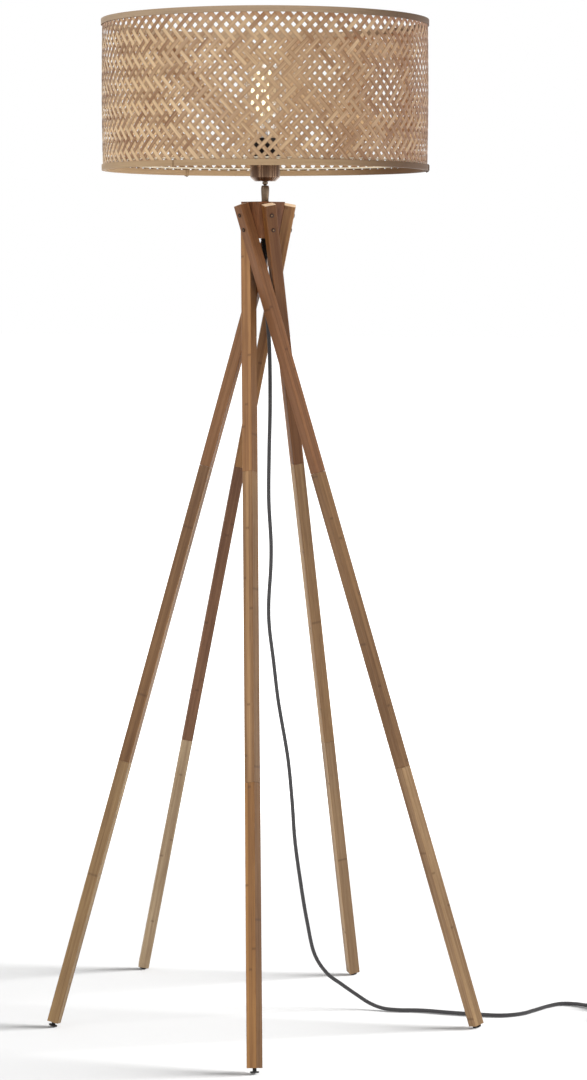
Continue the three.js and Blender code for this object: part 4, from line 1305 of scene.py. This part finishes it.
def bronzeWithPaintedReflections():
    # spun metal with fine marks that run up it in its roughness and bump, and painted reflections as
    # lighter and darker stripes in its colour
    look = named(bronzeBrushAndReflectionLook)
    material, tree, shader = newMaterial("bronzePaintedReflections")
    u, v, _ = partsOf(tree, surfacePlace(tree))
    brushMarksAndReflections = noiseOf(tree, vectorOf(tree, u, 0.0, times(tree, v, look.stretch)), look.stripes, 3, 0.6)
    # painted reflections: the stripes lighten and darken the colour
    colour = blended(tree, remap(tree, brushMarksAndReflections, 0.34, 0.66), linear(*look.dark), linear(*look.light))
    feed(
        tree, shader, Base_Color=colour, Metallic=0.85, Roughness=remap(tree, brushMarksAndReflections, 0.3, 0.7, 0.36, 0.22),
        Normal=bumped(tree, brushMarksAndReflections, 0.15, 0.0003),
    )
    return material


cupSizes = dict(
    bottom=1.3103, base=0.0162, side=0.0227, chamfer=0.0063, top=1.3418, wall=0.0012, hole=0.0028,
    washer=0.0060, step=0.00025, lip=0.0010, soft=0.0007,
)


def makeCup():
    # a spun cup: flat base with a washer step, a chamfer, a straight side and a rolled lip
    size = named(cupSizes)
    bottom, side, wall, top, step = size.bottom, size.side, size.wall, size.top, size.step
    inside = [
        (side - wall, top - 0.0002), (side - wall, bottom + size.chamfer + 0.0006),
        (size.base - 0.0006, bottom + wall), (size.hole, bottom + wall),
    ]
    outside = [
        (size.hole, bottom), (size.washer, bottom), (size.washer + 0.0004, bottom + step),
        (size.base, bottom + step), (side, bottom + size.chamfer), (side, top - 2 * size.lip),
        (side - step, top - 0.0017), (side - step, top - 0.0013), (side, top - size.lip), (side, top),
    ]
    part = revolved(softened(outside + inside, size.soft, steps=5), 96, closed=True)
    addPiece("holderCup", part, onHead, [bronzeWithPaintedReflections()], "head", ["holder_cup"], sharp=40)


holderSizes = dict(
    inside=0.0212, bottom=1.3225, bodyTop=1.3419, flange=0.0227, flangeLow=1.3421, flangeHigh=1.3448,
    skirt=0.0188, threadLow=1.3556, threadStep=0.00046, threadSteps=44, threadDepth=0.0005, top=1.3768,
    bore=0.0133, floor=1.3493, chamfer=0.002, bevel=0.0005, lip=0.0012,
)


def makeHolder():
    # the plastic holder: its body in the cup, a flange, a threaded skirt and the bore for the bulb's cap
    size = named(holderSizes)
    flange, skirt, bore, bevel = size.flange, size.skirt, size.bore, size.bevel
    cut = np.arange(size.threadSteps) % 4 > 1
    thread = threaded(skirt, size.threadDepth, size.threadLow, size.threadStep, size.threadSteps, cut)
    profile = np.concatenate([
        [(0, size.bottom), (size.inside - size.chamfer, size.bottom),
         (size.inside, size.bottom + size.chamfer), (size.inside, size.bodyTop),
         (flange - 0.6 * bevel, size.flangeLow),
         (flange, size.flangeLow + 0.8 * bevel), (flange, size.flangeHigh - bevel),
         (flange - bevel, size.flangeHigh), (skirt, size.flangeHigh)],
        thread,
        [(skirt - size.lip / 2, size.top - size.lip / 3), (skirt - size.lip, size.top),
         (bore + 2 * bevel, size.top), (bore, size.top - 1.6 * bevel), (bore, size.floor), (0, size.floor)],
    ])
    part = revolved(profile, 96)
    addPiece("lampHolder", part, onHead, [finishes["blackPlastic"]], "head", ["lampholder"])


bulbSizes = dict(
    low=1.3666, top=1.4946, widest=0.0320, wall=0.0007, cap=0.0130, capLow=1.3496, capHigh=1.3766,
    contact=0.0040, shoulder=0.0050, threadLow=1.3560, threadHigh=1.3750, threadDepth=0.0005,
    threadTurns=6, threadSteps=60, insulator=0.0105, bevel=0.0006,
)
filamentSizes = dict(
    radius=0.0125, low=1.4110, high=1.4770, shift=-0.0085, rods=6, rod=0.0016, twist=0.5, waist=0.62,
    wire=0.0003, post=0.0006, postLow=1.4040, star=0.0105, wireStart=0.002, wireEnd=0.0085, wireLow=1.3950,
)
# How far down from the top, and how wide there, as shares of the glass's length and of its widest radius.
bulbShares = [
    (0, 0), (0.012, 0.2), (0.04, 0.44), (0.1, 0.7), (0.18, 0.88), (0.28, 0.985), (0.38, 1), (0.48, 0.93),
    (0.6, 0.76), (0.73, 0.54), (0.84, 0.4), (0.92, 0.366), (1, 0.366),
]
# The glass mount inside the bulb, as (radius, height).
mountProfile = [
    (0.0, 1.4060), (0.0022, 1.4050), (0.0022, 1.3950), (0.0030, 1.3860), (0.0075, 1.3760), (0.0105, 1.3690),
]
glowLook = dict(middle=(1, 0.98, 0.72, 1), ends=(1, 0.92, 0.5, 1), reach=0.034, strength=1.08)


def smoothProfile(points, steps):
    # a smooth curve through (radius, height) points, evenly sampled and never past the axis
    flat = smoothRoute(np.column_stack([points, np.zeros(len(points))]), 0.0005)[:, :2]
    return evenly(flat, steps - 1).clip(0)


def glassMaterial():
    # clear glass with faint blown streaks
    material, tree, shader = newMaterial("clearGlass")
    streak = noiseOf(tree, scaled(tree, objectPlace(tree), (60, 60, 9)), 1, 2, 0.5)
    feed(
        tree, shader, Base_Color=(0.97, 0.98, 0.97, 1), Roughness=remap(tree, streak, 0.3, 0.7, 0.0, 0.03),
        IOR=1.45, Transmission_Weight=1.0, Normal=bumped(tree, streak, 0.05, grainDepth),
    )
    return material


def glowMaterial():
    # rods that glow palest half way up and yellower towards their ends
    look = named(glowLook)
    material, tree, shader = newMaterial("glowingFilament")
    middle = (filamentSizes["low"] + filamentSizes["high"]) / 2
    share = remap(tree, apart(tree, partsOf(tree, objectPlace(tree))[2], middle), 0.0, look.reach)
    feed(
        tree, shader, Base_Color=(0.9, 0.8, 0.6, 1), Roughness=0.5,
        Emission_Color=blended(tree, share, look.middle, look.ends), Emission_Strength=look.strength,
    )
    return material


def makeGlass():
    # a blown envelope: the outline through bulbShares carried round Z, and the same outline a wall further in
    size = named(bulbSizes)
    down, wide = np.array(bulbShares).T
    height = size.top - down * (size.top - size.low)
    outside = smoothProfile(np.column_stack([wide * size.widest, height]), 72)
    outside[0, 0] = 0
    slope = unit(np.gradient(outside, axis=0))
    inside = outside + np.column_stack([slope[:, 1], -slope[:, 0]]) * size.wall
    inside[0] = (0, outside[0, 1] - size.wall)
    inside[:, 0] = inside[:, 0].clip(0)
    part = revolved(np.concatenate([outside, inside[::-1]]), 72)
    stands = ["bulb_glass"]
    glass = addPiece("bulbGlass", part, onHead, [glassMaterial()], "bulb", stands, sharp=60)
    glass.visible_shadow = False


def makeFilament():
    # a cage of glowing rods: each is bowed by a sine, twisted a little, and swept aside as the photo's glow
    # is
    size = named(filamentSizes)
    t = np.linspace(0, 1, 30)
    bow = size.radius * (size.waist + (1 - size.waist) * np.sin(pi * (0.15 + 0.7 * t)))
    height = size.low + t * (size.high - size.low)
    shift = size.shift * np.sin(pi * t) ** 0.5
    rods = []
    for k in range(size.rods):
        path = spun(bow, tau * k / size.rods + size.twist * t, height) + np.outer(shift, (1, 0, 0))
        rods.append(tubeAlong(path, size.rod, 10, (0.3, 0.2, 0.1)))
    addPiece("bulbFilament", joined(*rods), onHead, [glowMaterial()], "bulb", sharp=60)


def makeMount():
    # the glass mount, two wires up to the rods, and a post with a star of wires that holds the rods' tops
    size = named(filamentSizes)
    mount = revolved(smoothProfile(np.array(mountProfile), 30), 40)
    wires = [
        rodBetween((sign * size.wireStart, 0, size.wireLow), (sign * size.wireEnd, 0, size.low + 0.001),
                   size.wire, 8)
        for sign in (-1, 1)
    ]
    post = rodBetween((0, 0, size.postLow), (0, 0, size.high + 0.004), size.post, 10)
    star = [
        rodBetween((0, 0, size.high + 0.0035), spun(size.star, angle, size.high + 0.0005), size.wire, 8)
        for angle in np.arange(size.rods) * tau / size.rods + size.twist
    ]
    part = joined(mount, post, *wires, *star)
    addPiece("bulbMount", part, onHead, [finishes["platedSteel"]], "bulb", sharp=60)


def makeCap():
    # the screw cap: a contact, a shoulder and a rolled thread whose depth is a cosine wave
    size = named(bulbSizes)
    turns = np.arange(size.threadSteps)
    wave = size.threadDepth * (0.5 - 0.5 * np.cos(turns / size.threadSteps * size.threadTurns * tau))
    heights = np.linspace(size.threadLow, size.threadHigh, size.threadSteps)
    thread = np.column_stack([size.cap - wave, heights])
    profile = np.concatenate([
        [(0, size.capLow), (size.contact - size.bevel, size.capLow), (size.contact, size.capLow + size.bevel),
         (size.contact, size.capLow + 0.0010), (size.shoulder, size.capLow + 0.0016),
         (size.insulator, size.threadLow - 0.0020), (size.cap - 0.0003, size.threadLow - 0.0004)],
        thread, [(size.cap - 0.0004, size.capHigh), (size.cap - 0.001, size.capHigh)],
    ])
    part = revolved(profile, 72)
    addPiece("bulbCap", part, onHead, [finishes["platedSteel"]], "bulb", ["bulb_cap"], sharp=40)


reliefSizes = dict(
    tip=1.1907, tipRadius=0.0039, root=1.2207, rootRadius=0.0050, grooves=8, grooveDepth=0.0007,
    flange=0.0065, flangeTop=1.2227, grip=0.0047, gripSteps=12, gripStep=0.0008, gripDepth=0.0003, top=1.2330,
)


def makeRelief():
    # a tapered boot with grooves cut round it, then a flange and the ribbed grip in the hub
    size = named(reliefSizes)
    count = size.grooves * 6 + 1
    cut = np.isin(np.arange(count) % 6, (3, 4))
    heights = np.linspace(size.tip + 0.001, size.root - 0.001, count)
    profile = np.concatenate([
        [(0.0031, size.tip + 0.0002), (size.tipRadius - 0.0003, size.tip)],
        ribbed(heights, size.tip, size.root, size.tipRadius, size.rootRadius, size.grooveDepth, cut),
        [(size.rootRadius, size.root), (size.flange - 0.0004, size.root), (size.flange, size.root + 0.0005),
         (size.flange, size.flangeTop - 0.0003), (size.grip, size.flangeTop)],
        threaded(size.grip, size.gripDepth, size.flangeTop + size.gripStep, size.gripStep, size.gripSteps),
        [(size.grip - 0.0005, size.top), (0, size.top)],
    ])
    part = revolved(profile, 48)
    skins = [finishes["blackRubber"]]
    addPiece("cordRelief", part, onAxis, skins, "stand", ["strain_relief"])


footSizes = dict(
    radius=0.00675, thickness=0.0026, tread=0.0008, stem=0.0030, stemLength=0.030, neck=0.0032,
    threadDepth=0.00025, threadStep=0.0004, threadSteps=62,
)


def makeFeet():
    # a black glide with a rounded tread, a hub and a threaded stem
    size = named(footSizes)
    radius, thickness, stem = size.radius, size.thickness, size.stem
    top = thickness + size.stemLength - 0.0002
    glide = [
        (0, 0), (radius - size.tread, 0), (radius, size.tread), (radius, thickness - 0.0004),
        (radius - 0.0006, thickness), (stem, thickness),
    ]
    profile = np.concatenate([
        softened(glide, 0.0005, closed=False),
        threaded(stem, size.threadDepth, thickness + size.neck, size.threadStep, size.threadSteps),
        [(stem - 0.0006, top), (0, top)],
    ])
    foot = revolved(profile, 48)
    for name in legSizes["order"]:
        turn, origin = legTurn(name)
        part = moved(foot, origin, np.array(turn.transposed()))
        stands = [f"{name}_levelling_foot"]
        addPiece(f"{name}Glide", part, inPlace, [finishes["blackGlide"]], f"{name}_foot", stands)


screwSizes = dict(
    radius=0.0033, height=0.0011, seat=0.00905, socket=0.0014, depth=0.0008, shank=0.0017, length=0.029,
    threadDepth=0.0003, threadStart=0.0265, threadStep=0.0004, threadSteps=54, steps=36,
)


def screwPart():
    # a domed head with a hexagonal socket, on a threaded shank, along +X: the socket's radius is its half
    # width over the cosine of the angle from the middle of a side
    size = named(screwSizes)
    seat, top = size.seat, size.seat + size.height
    bottom = seat - size.length
    dome = np.linspace(0, 1, 7)
    head = np.column_stack([
        size.radius * (1 - 0.55 * dome**2), seat + size.height * (0.3 + 0.7 * np.sin(dome * pi / 2)),
    ])
    profile = np.concatenate([
        [(0, bottom + 0.0003), (size.shank * 0.4, bottom + 0.0012)],
        threaded(size.shank, size.threadDepth, seat - size.threadStart, size.threadStep, size.threadSteps),
        [(size.shank, seat - 0.004), (size.shank, seat), (size.radius - 0.0002, seat),
         (size.radius, seat + 0.0002)],
        head, [(size.socket + 0.0001, top)],
    ])
    body = revolved(profile, size.steps)
    angle = np.linspace(0, tau, size.steps + 1)
    hexagon = size.socket * 0.87 / np.cos(np.abs((angle + pi / 6) % (pi / 3) - pi / 6))
    rings = [
        (size.socket + 0.0001, top), (hexagon, top - 0.0001), (hexagon, top - size.depth),
        (0, top - size.depth - 0.0001),
    ]
    wall = np.concatenate([spun(radius, angle, height) for radius, height in rings])
    pick = np.concatenate([np.zeros(len(body[1]) + size.steps), np.ones(2 * size.steps)])
    socket = (wall, list(gridFaces(len(rings), size.steps + 1)), wall[:, :2])
    return moved(joined(body, socket), turn=turnTo((1, 0, 0))), pick


def makeScrews():
    # two screws a leg, each on the middle of its solid and turned with the leg
    screw, pick = screwPart()
    skins = [finishes["blackSteel"], finishes["brassNail"]]
    for name in legSizes["order"]:
        turn, origin = legTurn(name)
        ahead = np.array(turn)
        for level in ("low", "high"):
            node = f"{name}_{level}_screw"
            points = pointsOf(node) @ ahead.T
            centre = (points.min(0) + points.max(0)) / 2
            part = moved(screw, ((ahead @ np.array(origin))[0], centre[1], centre[2]))
            part = moved(part, turn=ahead.T)
            title = f"{name}{level.title()}Screw"
            addPiece(title, part, inPlace, skins, "stand", [node], pick=pick)


for makeOne in (makeShade, makeSpider, makeClamp, makeStem, makeBall, makeCup, makeHolder):
    makeOne()
print("shade, swivel and holder made")
for makeOne in (makeGlass, makeFilament, makeMount, makeCap):
    makeOne()
print("bulb made")
for makeOne in (makeRelief, makeFeet, makeScrews):
    makeOne()
print("strain relief, feet and screws made")


stageSizes = dict(
    reach=40, sunk=0.0002, grey=0.5, shadowReach=0.9, whiteFrom=2.2, nearGlow=0.06, worldGlow=0.62,
)


def makeFloor():
    # a floor that takes the lamp's shadow near it and glows up to the plain white background further off
    size = named(stageSizes)
    mesh = bpy.data.meshes.new("floor")
    corners = [(-1, -1, 0), (1, -1, 0), (1, 1, 0), (-1, 1, 0)]
    mesh.from_pydata([Vector(corner) * size.reach for corner in corners], [], [(0, 1, 2, 3)])
    floor = bpy.data.objects.new("floor", mesh)
    floor.location.z = -size.sunk
    bpy.context.scene.collection.objects.link(floor)
    material, tree, shader = newMaterial("whiteFloor")
    path = place(tree, "LightPath").outputs
    seen = calc(tree, "MAXIMUM", path["Is Camera Ray"], path["Is Glossy Ray"])
    distance = place(tree, "VectorMath", {0: objectPlace(tree)}, operation="LENGTH").outputs["Value"]
    glow = remap(tree, distance, size.shadowReach, size.whiteFrom, size.nearGlow, 1.0)
    feed(
        tree, shader, Base_Color=(size.grey, size.grey, size.grey, 1), Roughness=0.9, Specular_IOR_Level=0.0,
        Emission_Color=(1, 1, 1, 1), Emission_Strength=times(tree, seen, glow),
    )
    mesh.materials.append(material)


def makeWorld():
    # plain white to the camera, to mirrors and through glass, and a softer white as light
    world = bpy.data.worlds.new("world")
    world.use_nodes = True
    bpy.context.scene.world = world
    tree = world.node_tree
    back = next(node for node in tree.nodes if node.type == "BACKGROUND")
    path = place(tree, "LightPath").outputs
    seen = calc(tree, "MAXIMUM", path["Is Camera Ray"], path["Is Glossy Ray"])
    seen = calc(tree, "MAXIMUM", seen, path["Is Transmission Ray"])
    feed(tree, back, Color=(1, 1, 1, 1), Strength=remap(tree, seen, 0, 1, stageSizes["worldGlow"], 1.0))


def makeReach(name, state):
    # the things a lamp lights: the floor alone, or all but the floor
    reach = bpy.data.collections.new(name)
    reach.objects.link(bpy.data.objects["floor"])
    reach.collection_objects[0].light_linking.link_state = state
    return reach


lightSizes = dict(
    bulb=dict(kind="POINT", spot=onHead([0.08, 0.02, 1.45]), power=0.65, size=0.02, colour=(1, 0.92, 0.76)),
    key=dict(spot=(-2.6, -3.0, 2.6), target=(0, 0, 0.8), power=62, size=2.0),
    side=dict(spot=(3.2, 0.4, 1.5), target=(0, 0, 0.5), power=1.5, size=0.9),
    top=dict(spot=(-0.4, 0.3, 4.2), target=(0, 0, 0.5), power=30, size=1.6),
    ground=dict(spot=(10.0, 0.4, 3.8), power=4900, size=4.4),
)


def addLight(name, reach, spot, power, size, target=(0, 0, 0), kind="AREA", colour=(1, 1, 1)):
    # a lamp at spot that faces the target, and lights only what is in reach
    data = bpy.data.lights.new(name, kind)
    data.energy = power
    data.color = colour
    setattr(data, "size" if kind == "AREA" else "shadow_soft_size", size)
    light = bpy.data.objects.new(name, data)
    light.location = spot
    light.rotation_mode = "QUATERNION"
    light.rotation_quaternion = (Vector(target) - Vector(spot)).to_track_quat("-Z", "Y")
    light.visible_camera = False
    light.visible_glossy = light.visible_transmission = kind == "AREA"
    light.light_linking.receiver_collection = reach
    bpy.context.scene.collection.objects.link(light)


makeFloor()
makeWorld()
floorOnly, lampOnly = makeReach("floorOnly", "INCLUDE"), makeReach("lampOnly", "EXCLUDE")
for lightName, light in lightSizes.items():
    addLight(lightName, floorOnly if lightName == "ground" else lampOnly, **light)
bpy.context.scene.view_settings.view_transform = "Standard"
print("stage and lights made")
